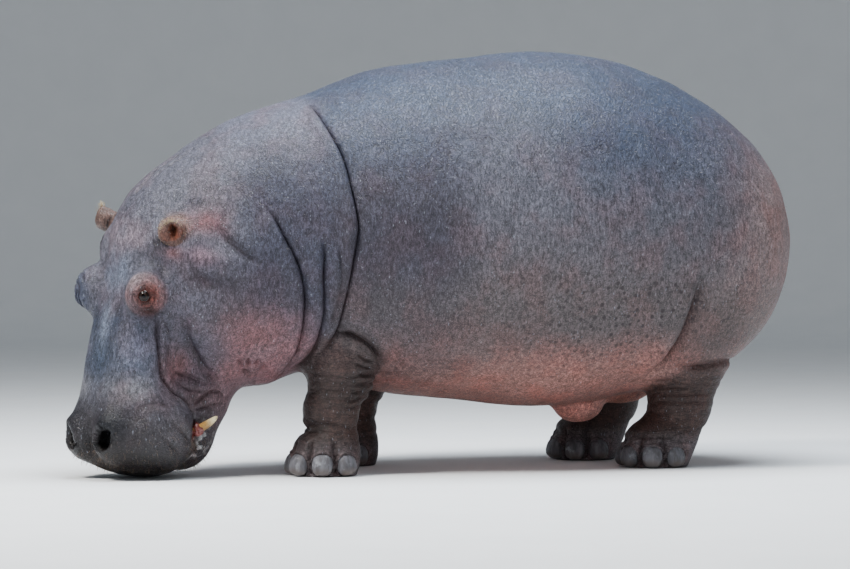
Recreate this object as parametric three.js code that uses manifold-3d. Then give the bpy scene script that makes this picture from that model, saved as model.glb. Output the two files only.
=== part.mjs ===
// A standing hippopotamus with its muzzle lowered almost to the floor, at life size.
// Millimetres. +X is the animal's left, -Y is the way it faces, +Z is up, the floor is z = 0.
// The torso is one smooth blend of named muscle masses. Trunk, neck and head are ring meshes cast
// onto that blend from an axis inside it and parted by thin flat cuts. Legs, feet, ears, nails
// and the rest are shapes of their own, cut so that they meet their neighbours across a thin gap.
import * as THREE from "three";
import { mergeVertices } from "three/addons/utils/BufferGeometryUtils.js";
import Module from "manifold-3d";

const wasm = await Module();
wasm.setup();

// ---------------------------------------------------------------- driving dimensions
const BACK_HEIGHT = 1500; // floor to the highest point of the back
const BELLY_CLEARANCE = 215; // floor to the lowest point of the belly
const BARREL_LENGTH = 1860; // front of the chest to the rump
const BARREL_WIDTH = 1220;
const GAP = 0.5; // width of the thin cuts between parts

const HEAD_PITCH = 78; // degrees the face points down from level
const HEAD_YAW = 18; // degrees the face turns to the animal's left
const POLL = [121, -1590, 912]; // top of the skull between the ears
const EYE = [185, 8, 294]; // left, up and forward of the poll
const EYE_RADIUS = 26;
const EAR_ROOT = [140, -100, 25];
const EAR_MOUTHS = { left: [216, -28, 76], right: [224, -38, 6] }; // one ear is swivelled forward
const EAR_RADIUS = 46;
const EAR_WALL = 9;
const TUSK = { base: [186, -296, 706], tip: [212, -356, 646], radius: 16 };

const NECK_CUT = { at: [0, -940, 860], pitch: 0, yaw: 0 };
const HEAD_CUT = { at: [45, -1290, 700], pitch: 34, yaw: 8 };

// Each leg: its foot's middle on the floor, the foot's turn to the animal's left in degrees,
// the height of the cut above the foot, and the leg's middle line from the top down as
// [outward, backward, height, radius] of the foot's middle.
const FORE_LINE = [
  [-60, 90, 560, 150],
  [-10, 56, 345, 124],
  [0, 28, 245, 95],
  [0, 22, 165, 92],
  [0, 6, 0, 88],
];
const HIND_LINE = [
  [-40, 150, 560, 165],
  [0, 138, 360, 128],
  [0, 108, 230, 114],
  [0, 64, 120, 103],
  [0, 6, 0, 96],
];
const LEGS = [
  { name: "fore", side: "left", foot: [250, -930], turn: 43, ankle: 165, line: FORE_LINE },
  { name: "fore", side: "right", foot: [-250, -668], turn: 25, ankle: 165, line: FORE_LINE },
  { name: "hind", side: "left", foot: [250, 336], turn: 38, ankle: 118, line: HIND_LINE },
  { name: "hind", side: "right", foot: [-250, 282], turn: 28, ankle: 118, line: HIND_LINE },
];
const LEG_SLIMNESS = 0.9; // a leg's width over its length from front to back
const PAD_HALF = [108, 116, 105];
const TOE_ANGLES = [-72, -24, 24, 72]; // around the front of the foot
const TOE_RING = 84; // foot's middle to a toe's middle
const TOE_HALF = [41, 46, 47];
const NAIL_RING = 109;
const NAIL_HALF = [37, 39, 28]; // width, height and depth

const TAIL_LINE = [
  [0, 850, 1090, 46],
  [0, 892, 1010, 38],
  [0, 918, 900, 33],
  [0, 920, 780, 28],
  [0, 898, 660, 17],
];
const BULGE = { at: [0, 150, 226], half: [84, 96, 74] }; // soft bulge under the rear belly

// ---------------------------------------------------------------- small helpers
const radians = THREE.MathUtils.degToRad;
const vector = (a) => new THREE.Vector3(...a);

// Unit axes of something that faces -Y, pitched down and then turned to the left.
function facing(pitch, yaw) {
  const turn = new THREE.Euler(0, 0, radians(yaw));
  const p = radians(pitch);
  return {
    left: new THREE.Vector3(1, 0, 0).applyEuler(turn),
    up: new THREE.Vector3(0, -Math.sin(p), Math.cos(p)).applyEuler(turn),
    forward: new THREE.Vector3(0, -Math.cos(p), -Math.sin(p)).applyEuler(turn),
  };
}

const head = { origin: vector(POLL), ...facing(HEAD_PITCH, HEAD_YAW) };

function headToBody([left, up, forward]) {
  const sideways = head.origin.clone().addScaledVector(head.left, left);
  return sideways.addScaledVector(head.up, up).addScaledVector(head.forward, forward);
}

function bodyToHead(p) {
  const d = p.clone().sub(head.origin);
  return [d.dot(head.left), d.dot(head.up), d.dot(head.forward)];
}

const headTurn = new THREE.Matrix4().makeBasis(head.left, head.up, head.forward).setPosition(head.origin);

// ---------------------------------------------------------------- the blend of masses
function smoothMin(a, b, k) {
  const h = Math.max(k - Math.abs(a - b), 0) / k;
  return Math.min(a, b) - (h * h * k) / 4;
}

// A rounded mass. half: half sizes on the three axes; tilt: degrees about the first axis;
// box: 2 is an ellipsoid, more is squarer; blend: how softly it joins what came before it.
const mass = (name, at, half, { tilt = 0, box = 2, blend = 80, pair = false } = {}) => ({
  name,
  at,
  half,
  box,
  blend,
  pair,
  cos: Math.cos(radians(tilt)),
  sin: Math.sin(radians(tilt)),
});

function massDistance(m, px, py, pz) {
  const x = Math.abs((m.pair ? Math.abs(px) : px) - m.at[0]);
  const dy = py - m.at[1];
  const dz = pz - m.at[2];
  const y = Math.abs(dy * m.cos + dz * m.sin);
  const z = Math.abs(dz * m.cos - dy * m.sin);
  const [a, b, c] = m.half;
  const n = m.box;
  const k = ((x / a) ** n + (y / b) ** n + (z / c) ** n) ** (1 / n);
  if (k < 1e-3) return -Math.min(a, b, c);
  const slope =
    k ** (1 - n) * Math.hypot(x ** (n - 1) / a ** n, y ** (n - 1) / b ** n, z ** (n - 1) / c ** n);
  return (k - 1) / slope;
}

function blended(masses, [x, y, z], start = Infinity) {
  return masses.reduce((d, m) => {
    const e = massDistance(m, x, y, z);
    return d === Infinity ? e : smoothMin(d, e, m.blend);
  }, start);
}

const barrelMid = (BACK_HEIGHT + BELLY_CLEARANCE) / 2;
const barrelHalf = (BACK_HEIGHT - BELLY_CLEARANCE) / 2;

// Trunk and neck, in body axes.
const trunkMasses = [
  mass("barrel", [0, -20, barrelMid], [BARREL_WIDTH / 2, BARREL_LENGTH / 2, barrelHalf]),
  mass("chest", [0, -640, 850], [470, 440, 520], { blend: 260 }),
  mass("haunch", [230, 470, 760], [260, 310, 420], { blend: 200, pair: true }),
  mass("buttock", [200, 605, 800], [240, 258, 350], { blend: 90, pair: true }),
  mass("neck", [20, -1040, 840], [380, 400, 420], { blend: 240, tilt: 25 }),
  mass("nape", [60, -1320, 850], [228, 248, 224], { blend: 160 }),
  mass("throat", [40, -1100, 520], [250, 180, 215], { blend: 160 }),
];

// Head, in head axes: left, up, forward of the poll.
const headMasses = [
  mass("skull", [0, -185, 110], [196, 198, 245], { blend: 120 }),
  mass("cheek", [185, -320, 190], [175, 240, 260], { blend: 110, pair: true }),
  mass("jaw", [0, -372, 440], [195, 158, 300], { blend: 90, tilt: -12 }),
  mass("bridge", [0, -125, 470], [150, 145, 340], { blend: 80, box: 2.8 }),
  mass("muzzle", [0, -175, 735], [225, 165, 150], { blend: 90, box: 2.5 }),
  mass("chin", [0, -345, 690], [155, 90, 150], { blend: 50, box: 2.4 }),
];
const eyeMound = mass("eye mound", [148, -25, 280], [68, 75, 80], { blend: 50, pair: true });
const nostrilMound = mass("nostril mound", [84, -44, 765], [66, 72, 88], { blend: 50, pair: true });

const torso = (p) => blended(headMasses, bodyToHead(p), blended(trunkMasses, p.toArray()));

// Distance to a rounded limb along a line of [x, y, z, radius], slimmer across than along.
function limbDistance(line, p) {
  const scaled = new THREE.Vector3(p.x / LEG_SLIMNESS, p.y, p.z);
  let nearest = Infinity;
  for (let i = 0; i + 1 < line.length; i++) {
    const [x, y, z, r] = line[i];
    const [u, v, w, s] = line[i + 1];
    const start = new THREE.Vector3(x / LEG_SLIMNESS, y, z);
    const along = new THREE.Vector3(u / LEG_SLIMNESS, v, w).sub(start);
    const t = THREE.MathUtils.clamp(scaled.clone().sub(start).dot(along) / along.lengthSq(), 0, 1);
    const d = scaled.distanceTo(start.addScaledVector(along, t)) - THREE.MathUtils.lerp(r, s, t);
    nearest = nearest === Infinity ? d : smoothMin(nearest, d, 20);
  }
  return nearest;
}

// ---------------------------------------------------------------- ring meshes
// How far along dir the surface of the field lies from a point inside it.
function reach(field, from, dir, longest = 1600) {
  const at = (r) => field(from.clone().addScaledVector(dir, r));
  let inside = 0;
  let outside = 0;
  while (outside < longest) {
    const d = at(outside);
    if (d > 0) break;
    inside = outside;
    outside += Math.max(4, -d * 0.5);
  }
  for (let i = 0; i < 24; i++) {
    const middle = (inside + outside) / 2;
    if (at(middle) > 0) outside = middle;
    else inside = middle;
  }
  return inside;
}

// rings: {centre, left, up, forward, lean}. lean tilts a ring's rays from its plane towards
// forward, in degrees. A flat fan closes each end, or a pole where that end's ring leans.
// grow moves every point out from its ring's centre, for cutting a neighbour.
function ringMesh(field, rings, segments, grow = 0) {
  const points = [];
  const cast = (ring, dir) => ring.centre.clone().addScaledVector(dir, reach(field, ring.centre, dir) + grow);
  for (const ring of rings) {
    const lean = radians(ring.lean ?? 0);
    for (let j = 0; j < segments; j++) {
      const a = (2 * Math.PI * j) / segments;
      const dir = ring.forward
        .clone()
        .multiplyScalar(Math.sin(lean))
        .addScaledVector(ring.left, Math.cos(a) * Math.cos(lean))
        .addScaledVector(ring.up, Math.sin(a) * Math.cos(lean));
      points.push(cast(ring, dir));
    }
  }
  const [first, last] = [rings[0], rings.at(-1)];
  const back = first.forward.clone().negate();
  const startPoint = points.push(first.lean ? cast(first, back) : first.centre.clone()) - 1;
  const endPoint = points.push(last.lean ? cast(last, last.forward) : last.centre.clone()) - 1;
  const end = (rings.length - 1) * segments;
  const faces = [];
  for (let j = 0; j < segments; j++) {
    const k = (j + 1) % segments;
    for (let i = 0; i < end; i += segments) {
      faces.push(i + j, i + k, i + segments + k, i + j, i + segments + k, i + segments + j);
    }
    faces.push(startPoint, k, j, endPoint, end + j, end + k);
  }
  const geometry = new THREE.BufferGeometry();
  geometry.setAttribute("position", new THREE.Float32BufferAttribute(points.flatMap((p) => p.toArray()), 3));
  geometry.setIndex(faces);
  return geometry;
}

// Rings from one frame to another, both {at, pitch, yaw}, turning evenly between them.
function ringsBetween(from, to, count) {
  const mix = THREE.MathUtils.lerp;
  return Array.from({ length: count + 1 }, (_, i) => {
    const t = i / count;
    return {
      centre: vector(from.at).lerp(vector(to.at), t),
      ...facing(mix(from.pitch, to.pitch, t), mix(from.yaw, to.yaw, t)),
    };
  });
}

// Rings that all share one centre and close a round end. side is 1 ahead of it, -1 behind it.
function domeRings(frame, count, side) {
  const rings = Array.from({ length: count }, (_, i) => ({
    centre: vector(frame.at),
    ...facing(frame.pitch, frame.yaw),
    lean: (side * 90 * (i + 1)) / (count + 1),
  }));
  return side > 0 ? rings : rings.reverse();
}

const shifted = (cut, by) => ({
  ...cut,
  at: vector(cut.at).addScaledVector(facing(cut.pitch, cut.yaw).forward, by).toArray(),
});

// ---------------------------------------------------------------- solids to cut with
function solid(geometry) {
  geometry.deleteAttribute("normal");
  geometry.deleteAttribute("uv");
  const merged = mergeVertices(geometry, 1e-3);
  const mesh = new wasm.Mesh({
    numProp: 3,
    vertProperties: merged.attributes.position.array,
    triVerts: Uint32Array.from(merged.index.array),
  });
  return new wasm.Manifold(mesh);
}

function toGeometry(manifold) {
  const { vertProperties, triVerts } = manifold.getMesh();
  const geometry = new THREE.BufferGeometry();
  geometry.setAttribute("position", new THREE.BufferAttribute(vertProperties, 3));
  geometry.setIndex(new THREE.BufferAttribute(triVerts, 1));
  return geometry;
}

function ellipsoid(half, matrix, segments, rows) {
  return solid(new THREE.SphereGeometry(1, segments, rows).scale(...half).applyMatrix4(matrix));
}

// Both of a paired head mass, as ellipsoids.
function headPair(m, segments, rows) {
  return [1, -1].map((side) => {
    const place = new THREE.Matrix4().makeTranslation(side * m.at[0], m.at[1], m.at[2]);
    return ellipsoid(m.half, headTurn.clone().multiply(place), segments, rows);
  });
}

const group = new THREE.Group();
group.name = "hippopotamus";

function add(name, manifold, material) {
  const mesh = new THREE.Mesh(toGeometry(manifold), material);
  mesh.name = name;
  group.add(mesh);
}

// ---------------------------------------------------------------- materials
const surface = (color, roughness) => new THREE.MeshStandardMaterial({ color, roughness, metalness: 0 });
const hide = surface(0x6b6063, 0.75);
const darkHide = surface(0x4a403e, 0.8);
const pinkHide = surface(0x9c7470, 0.7);
const eyeball = surface(0x14100f, 0.15);
const nailHorn = surface(0x5d666c, 0.5);
const ivory = surface(0xcdb98a, 0.35);

// ---------------------------------------------------------------- trunk, neck and head
const TORSO_SEGMENTS = 24;
const rump = { at: [0, 470, barrelMid - 20], pitch: 0, yaw: 0 };
const trunkRings = [
  ...domeRings(rump, 5, -1),
  ...ringsBetween(rump, shifted(NECK_CUT, -GAP / 2), 12),
];
const neckRings = ringsBetween(shifted(NECK_CUT, GAP / 2), shifted(HEAD_CUT, -GAP / 2), 8);

const HEAD_SEGMENTS = 24;
const muzzleEnd = { at: headToBody([0, -190, 700]).toArray(), pitch: HEAD_PITCH, yaw: HEAD_YAW };
const headRings = [...ringsBetween(shifted(HEAD_CUT, GAP / 2), muzzleEnd, 15), ...domeRings(muzzleEnd, 5, 1)];

const cutterGrowth = 0.6;
const torsoCutter = solid(ringMesh(torso, [...trunkRings, ...neckRings], TORSO_SEGMENTS, cutterGrowth));

function mounded(grow) {
  const bare = solid(ringMesh(torso, headRings, HEAD_SEGMENTS, grow));
  const mounds = [...headPair(eyeMound, 12, 8), ...headPair(nostrilMound, 12, 8)];
  return mounds.reduce((whole, mound) => whole.add(mound), bare);
}
const headCutter = mounded(cutterGrowth);

// Sides of the lower jaw seen from its side, as [forward, up] of the poll: under the lip, up the
// mouth line to its corner, and down in front of the cheek.
const JAW_SIDE = [
  [1000, -340],
  [705, -312],
  [545, -235],
  [385, -105],
  [440, -300],
  [505, -470],
  [640, -800],
  [1000, -800],
];

function jawWedge(forward, up) {
  const outline = new THREE.Shape(JAW_SIDE.map(([f, u]) => new THREE.Vector2(f + forward, u + up)));
  const width = 1000;
  const block = new THREE.ExtrudeGeometry(outline, { depth: width, bevelEnabled: false });
  const sideways = new THREE.Matrix4().makeBasis(
    new THREE.Vector3(0, 0, 1),
    new THREE.Vector3(0, 1, 0),
    new THREE.Vector3(-1, 0, 0),
  );
  block.translate(0, 0, -width / 2).applyMatrix4(headTurn.clone().multiply(sideways));
  return solid(block);
}

function eyePlace(side) {
  return new THREE.Matrix4().setPosition(headToBody([side * EYE[0], EYE[1], EYE[2]]));
}

function eyeSphere(side, grow) {
  const r = EYE_RADIUS + grow;
  return ellipsoid([r, r, r], eyePlace(side), 10, 7);
}

function headAndJaw() {
  const whole = [1, -1].reduce((part, side) => part.subtract(eyeSphere(side, GAP)), mounded(0));
  const jawShift = { forward: 0.9, up: -1.2 }; // moves the jaw clear of all sides of the wedge
  add("head", whole.subtract(jawWedge(0, 0)), hide);
  add("lower_jaw", whole.intersect(jawWedge(jawShift.forward, jawShift.up)), hide);
  add("eye_left", eyeSphere(1, 0), eyeball);
  add("eye_right", eyeSphere(-1, 0), eyeball);
}

add("trunk", solid(ringMesh(torso, trunkRings, TORSO_SEGMENTS)), hide);
add("neck", solid(ringMesh(torso, neckRings, TORSO_SEGMENTS)), hide);
headAndJaw();

// ---------------------------------------------------------------- ears and tusks
// Turns +Y to a direction given in head axes, at a place given in head axes.
function headPointing(place, direction) {
  const toward = vector(direction).transformDirection(headTurn);
  const turn = new THREE.Quaternion().setFromUnitVectors(new THREE.Vector3(0, 1, 0), toward);
  return new THREE.Matrix4().compose(headToBody(place), turn, new THREE.Vector3(1, 1, 1));
}

const mirrored = (side, [left, up, forward]) => [side * left, up, forward];

// A cup on a short stem, its mouth at y = 0 and its stem below.
function ear(side, mouth) {
  const r = EAR_RADIUS;
  const toMouth = vector(mouth).sub(vector(EAR_ROOT));
  const length = toMouth.length();
  const profile = [
    [0, -length],
    [r * 0.5, -length],
    [r * 0.62, -length * 0.62],
    [r * 0.98, -length * 0.3],
    [r, -EAR_WALL * 0.6],
    [r - EAR_WALL * 0.5, 0],
    [r - EAR_WALL, -EAR_WALL * 0.8],
    [r * 0.62, -length * 0.3],
    [0, -length * 0.38],
  ].map(([x, y]) => new THREE.Vector2(x, y));
  const cup = new THREE.LatheGeometry(profile, 12).scale(0.86, 1, 1.08);
  const place = headPointing(mirrored(side, mouth), mirrored(side, toMouth.toArray()));
  return solid(cup.applyMatrix4(place)).subtract(headCutter).subtract(torsoCutter);
}

// A short blunt canine that leans out from under the upper lip.
function tusk(side) {
  const along = vector(mirrored(side, TUSK.tip)).sub(vector(mirrored(side, TUSK.base)));
  const length = along.length();
  const rows = 4;
  const profile = Array.from({ length: rows + 1 }, (_, i) => {
    const t = i / rows;
    return new THREE.Vector2(TUSK.radius * Math.sqrt(1 - t ** 3), length * t);
  });
  const cone = new THREE.LatheGeometry([new THREE.Vector2(0, 0), ...profile], 8);
  const place = headPointing(mirrored(side, TUSK.base), along.toArray());
  return solid(cone.applyMatrix4(place)).subtract(headCutter);
}

for (const [name, side] of [["left", 1], ["right", -1]]) {
  add(`ear_${name}`, ear(side, EAR_MOUTHS[name]), darkHide);
  add(`tusk_${name}`, tusk(side), ivory);
}

// ---------------------------------------------------------------- legs, feet and nails
// Rings across a limb, level, from one height down to another.
function levelRings(line, top, bottom, count) {
  return Array.from({ length: count + 1 }, (_, i) => {
    const z = THREE.MathUtils.lerp(top, bottom, i / count);
    const below = Math.max(1, line.findIndex((p) => p[2] <= z));
    const [from, to] = [line[below - 1], line[below]];
    const t = (z - from[2]) / (to[2] - from[2]);
    const centre = vector(from).lerp(vector(to), t);
    return { centre, ...facing(90, 0) };
  });
}

function legParts({ name, side, foot, turn, ankle, line }) {
  const out = side === "left" ? 1 : -1;
  const placed = line.map(([x, y, z, r]) => [foot[0] + out * x, foot[1] + y, z, r]);

  // A frame on the floor at the foot's middle, its -Y turned towards a toe.
  const toeFrame = (angle) =>
    new THREE.Matrix4().makeRotationZ(radians(turn + angle)).setPosition(foot[0], foot[1], 0);
  const toeViews = TOE_ANGLES.map((angle) => toeFrame(angle).invert());
  const pad = mass("pad", [foot[0], foot[1] + 8, PAD_HALF[2] - 40], PAD_HALF, { box: 2.4 });
  const toe = mass("toe", [0, -TOE_RING, TOE_HALF[2] - 4], TOE_HALF);
  const field = (p) => {
    const sole = smoothMin(limbDistance(placed, p), massDistance(pad, p.x, p.y, p.z), 40);
    return toeViews.reduce((d, view) => {
      const q = p.clone().applyMatrix4(view);
      return smoothMin(d, massDistance(toe, q.x, q.y, q.z), 12);
    }, sole);
  };

  const shankRings = levelRings(placed, line[0][2] - 40, ankle + GAP, 7);
  add(`${name}leg_${side}`, solid(ringMesh(field, shankRings, 18)).subtract(torsoCutter), hide);

  const nail = (angle, grow) => {
    const lean = new THREE.Matrix4().makeTranslation(0, -NAIL_RING, NAIL_HALF[1] + 3);
    const place = toeFrame(angle).multiply(lean).multiply(new THREE.Matrix4().makeRotationX(radians(72)));
    return ellipsoid(NAIL_HALF.map((h) => h + grow), place, 8, 5);
  };
  const paw = solid(ringMesh(field, levelRings(placed, ankle, 0, 5), 20));
  const socketed = TOE_ANGLES.reduce((part, angle) => part.subtract(nail(angle, GAP)), paw);
  add(`${name}foot_${side}`, socketed, darkHide);
  TOE_ANGLES.forEach((angle, i) => add(`${name}foot_${side}_nail_${i + 1}`, nail(angle, 0), nailHorn));
}

LEGS.forEach(legParts);

// ---------------------------------------------------------------- tail and belly bulge
const tailRings = levelRings(TAIL_LINE, 1085, 665, 6);
const tailField = (p) => limbDistance(TAIL_LINE, p);
add("tail", solid(ringMesh(tailField, tailRings, 9)).subtract(torsoCutter), darkHide);

const bulgePlace = new THREE.Matrix4().makeTranslation(...BULGE.at);
add("groin_bulge", ellipsoid(BULGE.half, bulgePlace, 12, 8).subtract(torsoCutter), pinkHide);

// ---------------------------------------------------------------- origin at the middle of the floor box
const box = new THREE.Box3().setFromObject(group);
group.position.set(-(box.min.x + box.max.x) / 2, -(box.min.y + box.max.y) / 2, 0);

export default group;
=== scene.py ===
"""A standing hippopotamus at life size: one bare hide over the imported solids, with its eyes, nails,
tusks and bristles.

The hide is the zero surface of a smooth field of body masses, the same masses as the solids'. It is
meshed on a grid, refined on the head, neck and feet, and then sculpted with lids, folds and creases.
Shapes are worked out in millimetres in the animal's own axes, +X its left, -Y the way it faces and
+Z up, and are written in metres where the frame has them.
"""
import math
from types import SimpleNamespace

import bmesh
import bpy
import numpy as np
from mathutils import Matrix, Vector


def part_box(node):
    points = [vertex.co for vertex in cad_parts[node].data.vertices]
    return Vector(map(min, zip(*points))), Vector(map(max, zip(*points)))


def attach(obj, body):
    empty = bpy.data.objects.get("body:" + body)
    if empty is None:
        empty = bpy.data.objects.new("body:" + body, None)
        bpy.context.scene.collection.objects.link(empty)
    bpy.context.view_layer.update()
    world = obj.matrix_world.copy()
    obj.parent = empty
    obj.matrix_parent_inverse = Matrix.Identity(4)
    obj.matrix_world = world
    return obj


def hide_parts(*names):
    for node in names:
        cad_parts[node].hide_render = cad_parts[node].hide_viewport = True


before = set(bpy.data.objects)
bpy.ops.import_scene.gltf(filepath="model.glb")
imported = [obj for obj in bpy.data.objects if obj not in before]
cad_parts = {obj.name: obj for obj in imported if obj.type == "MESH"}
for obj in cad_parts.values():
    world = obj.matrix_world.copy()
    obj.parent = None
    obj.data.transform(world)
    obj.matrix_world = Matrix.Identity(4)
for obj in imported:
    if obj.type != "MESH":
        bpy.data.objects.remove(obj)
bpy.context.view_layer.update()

# ---------------------------------------------------------------- sizes shared with the solids
BACK_HEIGHT = 1500
BELLY_CLEARANCE = 215
BARREL_LENGTH = 1860
BARREL_WIDTH = 1220
HEAD_PITCH = 78
HEAD_YAW = 18
POLL = np.array([121.0, -1590.0, 912.0])
EYE = np.array([185.0, 8.0, 294.0])
EYE_RADIUS = 26
EAR_ROOT = np.array([140.0, -100.0, 25.0])
EAR_MOUTHS = {1: np.array([226.0, -31.0, 68.0]), -1: np.array([229.0, -28.0, 5.0])}
EAR_RADIUS = 40
FORE_LINE = [[-60, 90, 560, 150], [-10, 56, 345, 124], [0, 28, 245, 95], [0, 22, 165, 92], [0, 6, 0, 88]]
HIND_LINE = [[-40, 150, 560, 165], [0, 138, 360, 128], [0, 108, 230, 114], [0, 64, 120, 103], [0, 6, 0, 96]]
LEGS = [
    SimpleNamespace(name="forefoot_left", side=1, foot=(250, -930), turn=43, line=FORE_LINE),
    SimpleNamespace(name="forefoot_right", side=-1, foot=(-250, -668), turn=25, line=FORE_LINE),
    SimpleNamespace(name="hindfoot_left", side=1, foot=(250, 336), turn=38, line=HIND_LINE),
    SimpleNamespace(name="hindfoot_right", side=-1, foot=(-250, 282), turn=28, line=HIND_LINE),
]
LEG_SLIMNESS = 0.9
PAD_HALF = (108, 116, 105)
TOE_ANGLES = (-72, -24, 24, 72)
TOE_RING = 84
TOE_HALF = (41, 46, 47)
NAIL_RING = 109
NAIL_HALF = np.array([37.0, 39.0, 28.0])
NAIL_LEAN = 72
TAIL_LINE = [[0, 850, 1090, 46], [0, 892, 1010, 38], [0, 918, 900, 33], [0, 920, 780, 28], [0, 898, 660, 17]]


# ---------------------------------------------------------------- axes
def facing(pitch, yaw):
    """Rows left, up and forward of something that faces -Y, pitched down and then turned left."""
    p, y = math.radians(pitch), math.radians(yaw)
    turn = np.array([[math.cos(y), -math.sin(y), 0], [math.sin(y), math.cos(y), 0], [0, 0, 1]])
    rows = np.array([[1, 0, 0], [0, -math.sin(p), math.cos(p)], [0, -math.cos(p), -math.sin(p)]])
    return rows @ turn.T


HEAD_AXES = facing(HEAD_PITCH, HEAD_YAW)


def to_head(p):
    return (p - POLL) @ HEAD_AXES.T


def from_head(q):
    return POLL + np.asarray(q, float) @ HEAD_AXES


def unit(v):
    v = np.asarray(v, float)
    return v / np.linalg.norm(v, axis=-1, keepdims=True)


def mirror(side, v):
    return np.asarray(v, float) * (side, 1, 1)


# ---------------------------------------------------------------- the field of body masses
def smooth_min(a, b, k):
    h = np.maximum(k - np.abs(a - b), 0) / k
    return np.minimum(a, b) - h * h * k / 4


def smooth_max(a, b, k):
    return -smooth_min(-a, -b, k)


def mass(at, half, tilt=0, box=2, blend=80, pair=False):
    """A rounded mass: half sizes, degrees about the first axis, squareness and softness of joining."""
    t = math.radians(tilt)
    return SimpleNamespace(at=at, half=half, cos=math.cos(t), sin=math.sin(t), box=box, blend=blend, pair=pair)


def mass_distance(m, p):
    x = np.abs(p[:, 0]) if m.pair else p[:, 0]
    x = np.abs(x - m.at[0])
    y, z = p[:, 1] - m.at[1], p[:, 2] - m.at[2]
    y, z = np.abs(y * m.cos + z * m.sin), np.abs(z * m.cos - y * m.sin)
    a, b, c = m.half
    if m.box == 2:
        k = np.sqrt((x / a) ** 2 + (y / b) ** 2 + (z / c) ** 2)
        slope = np.sqrt((x / a**2) ** 2 + (y / b**2) ** 2 + (z / c**2) ** 2) / np.maximum(k, 1e-6)
    else:
        n = m.box
        k = ((x / a) ** n + (y / b) ** n + (z / c) ** n) ** (1 / n)
        steep = (x / a) ** (n - 1) / a, (y / b) ** (n - 1) / b, (z / c) ** (n - 1) / c
        slope = np.sqrt(sum(s * s for s in steep)) * np.maximum(k, 1e-6) ** (1 - n)
    return np.where(k < 1e-3, -min(m.half), (k - 1) / np.maximum(slope, 1e-9))


def blended(masses, p, start=None):
    for m in masses:
        d = mass_distance(m, p)
        start = d if start is None else smooth_min(start, d, m.blend)
    return start


BARREL_MID = (BACK_HEIGHT + BELLY_CLEARANCE) / 2
BARREL_HALF = (BACK_HEIGHT - BELLY_CLEARANCE) / 2
TRUNK = [
    mass((0, -20, BARREL_MID), (BARREL_WIDTH / 2, BARREL_LENGTH / 2, BARREL_HALF)),
    mass((0, -640, 850), (470, 440, 520), blend=260),
    mass((230, 470, 760), (260, 310, 420), blend=200, pair=True),
    mass((200, 605, 800), (240, 258, 350), blend=90, pair=True),
    mass((20, -1040, 840), (380, 400, 420), blend=240, tilt=25),
    mass((60, -1320, 850), (228, 248, 224), blend=160),
    mass((40, -1100, 520), (250, 180, 215), blend=160),
]
HEAD = [
    mass((0, -185, 110), (196, 198, 245), blend=120),
    mass((185, -320, 190), (175, 240, 260), blend=110, pair=True),
    mass((0, -372, 440), (195, 158, 300), blend=90, tilt=-12),
    mass((0, -125, 470), (150, 145, 340), blend=80, box=2.8),
    mass((0, -175, 735), (225, 165, 150), blend=90, box=2.5),
    mass((0, -352, 684), (158, 98, 150), blend=50, box=2.4),
    mass((148, -25, 280), (68, 75, 80), blend=50, pair=True),
    mass((84, -44, 765), (66, 72, 88), blend=50, pair=True),
]


def limb_distance(line, p):
    scale = np.array([1 / LEG_SLIMNESS, 1, 1])
    q = p * scale
    nearest = None
    for (x, y, z, r), (u, v, w, s) in zip(line, line[1:]):
        start = np.array([x, y, z]) * scale
        along = np.array([u, v, w]) * scale - start
        t = np.clip((q - start) @ along / (along @ along), 0, 1)
        d = np.linalg.norm(q - start - t[:, None] * along, axis=1) - (r + (s - r) * t)
        nearest = d if nearest is None else smooth_min(nearest, d, 20)
    return nearest


def in_toe_frame(leg, angle, p):
    """Points seen from the foot's middle on the floor, with -Y towards the toe."""
    t = math.radians(leg.turn + angle)
    x, y = p[:, 0] - leg.foot[0], p[:, 1] - leg.foot[1]
    return np.stack([x * math.cos(t) + y * math.sin(t), y * math.cos(t) - x * math.sin(t), p[:, 2]], 1)


def leg_distance(leg, p):
    fx, fy = leg.foot
    line = [(fx + leg.side * x, fy + y, z, r) for x, y, z, r in leg.line]
    d = limb_distance(line, p)
    d = smooth_min(d, mass_distance(mass((fx, fy + 8, PAD_HALF[2] - 40), PAD_HALF, box=2.4), p), 40)
    toe = mass((0, -TOE_RING, TOE_HALF[2] - 4), TOE_HALF)
    for angle in TOE_ANGLES:
        d = smooth_min(d, mass_distance(toe, in_toe_frame(leg, angle, p)), 12)
    return d


def to_nail(leg, angle, p):
    """Points seen from a nail's middle: across it, up its face and out of its face."""
    v = in_toe_frame(leg, angle, p) - (0, -NAIL_RING, NAIL_HALF[1] + 3)
    t = math.radians(NAIL_LEAN)
    up, out = (0, math.cos(t), math.sin(t)), (0, -math.sin(t), math.cos(t))
    return v @ np.array([(1, 0, 0), up, out]).T


def nail_distance(p):
    """Distance to the nearest nail, and a large number far from all of them."""
    d = np.full(len(p), 999.0)
    for leg in LEGS:
        near = np.flatnonzero((np.hypot(*(p[:, :2] - leg.foot).T) < 190) & (p[:, 2] < 130))
        for angle in TOE_ANGLES if len(near) else ():
            v = to_nail(leg, angle, p[near])
            v[:, 1] *= np.where(v[:, 1] < 0, 0.35, 1)  # the skin is open below the nail
            d[near] = np.minimum(d[near], mass_distance(mass((0, 0, 0), tuple(NAIL_HALF)), v))
    return d


def within(p, low, high):
    return np.flatnonzero(((p > low) & (p < high)).all(1))


def join_near(d, p, low, high, distance, k):
    """Blends another distance into d where p is between two corners."""
    near = within(p, low, high)
    if len(near):
        d[near] = smooth_min(d[near], distance(p[near]), k)


def ear_axes(side):
    """Rows: across the ear, up the ear, and out of its mouth, in head axes; and its length."""
    out = EAR_MOUTHS[side] - EAR_ROOT
    length = np.linalg.norm(out)
    out = unit(mirror(side, out))
    across = unit(np.cross(out, (0, 0.35, -1)))
    return np.array([across, np.cross(across, out), out]), length


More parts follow.
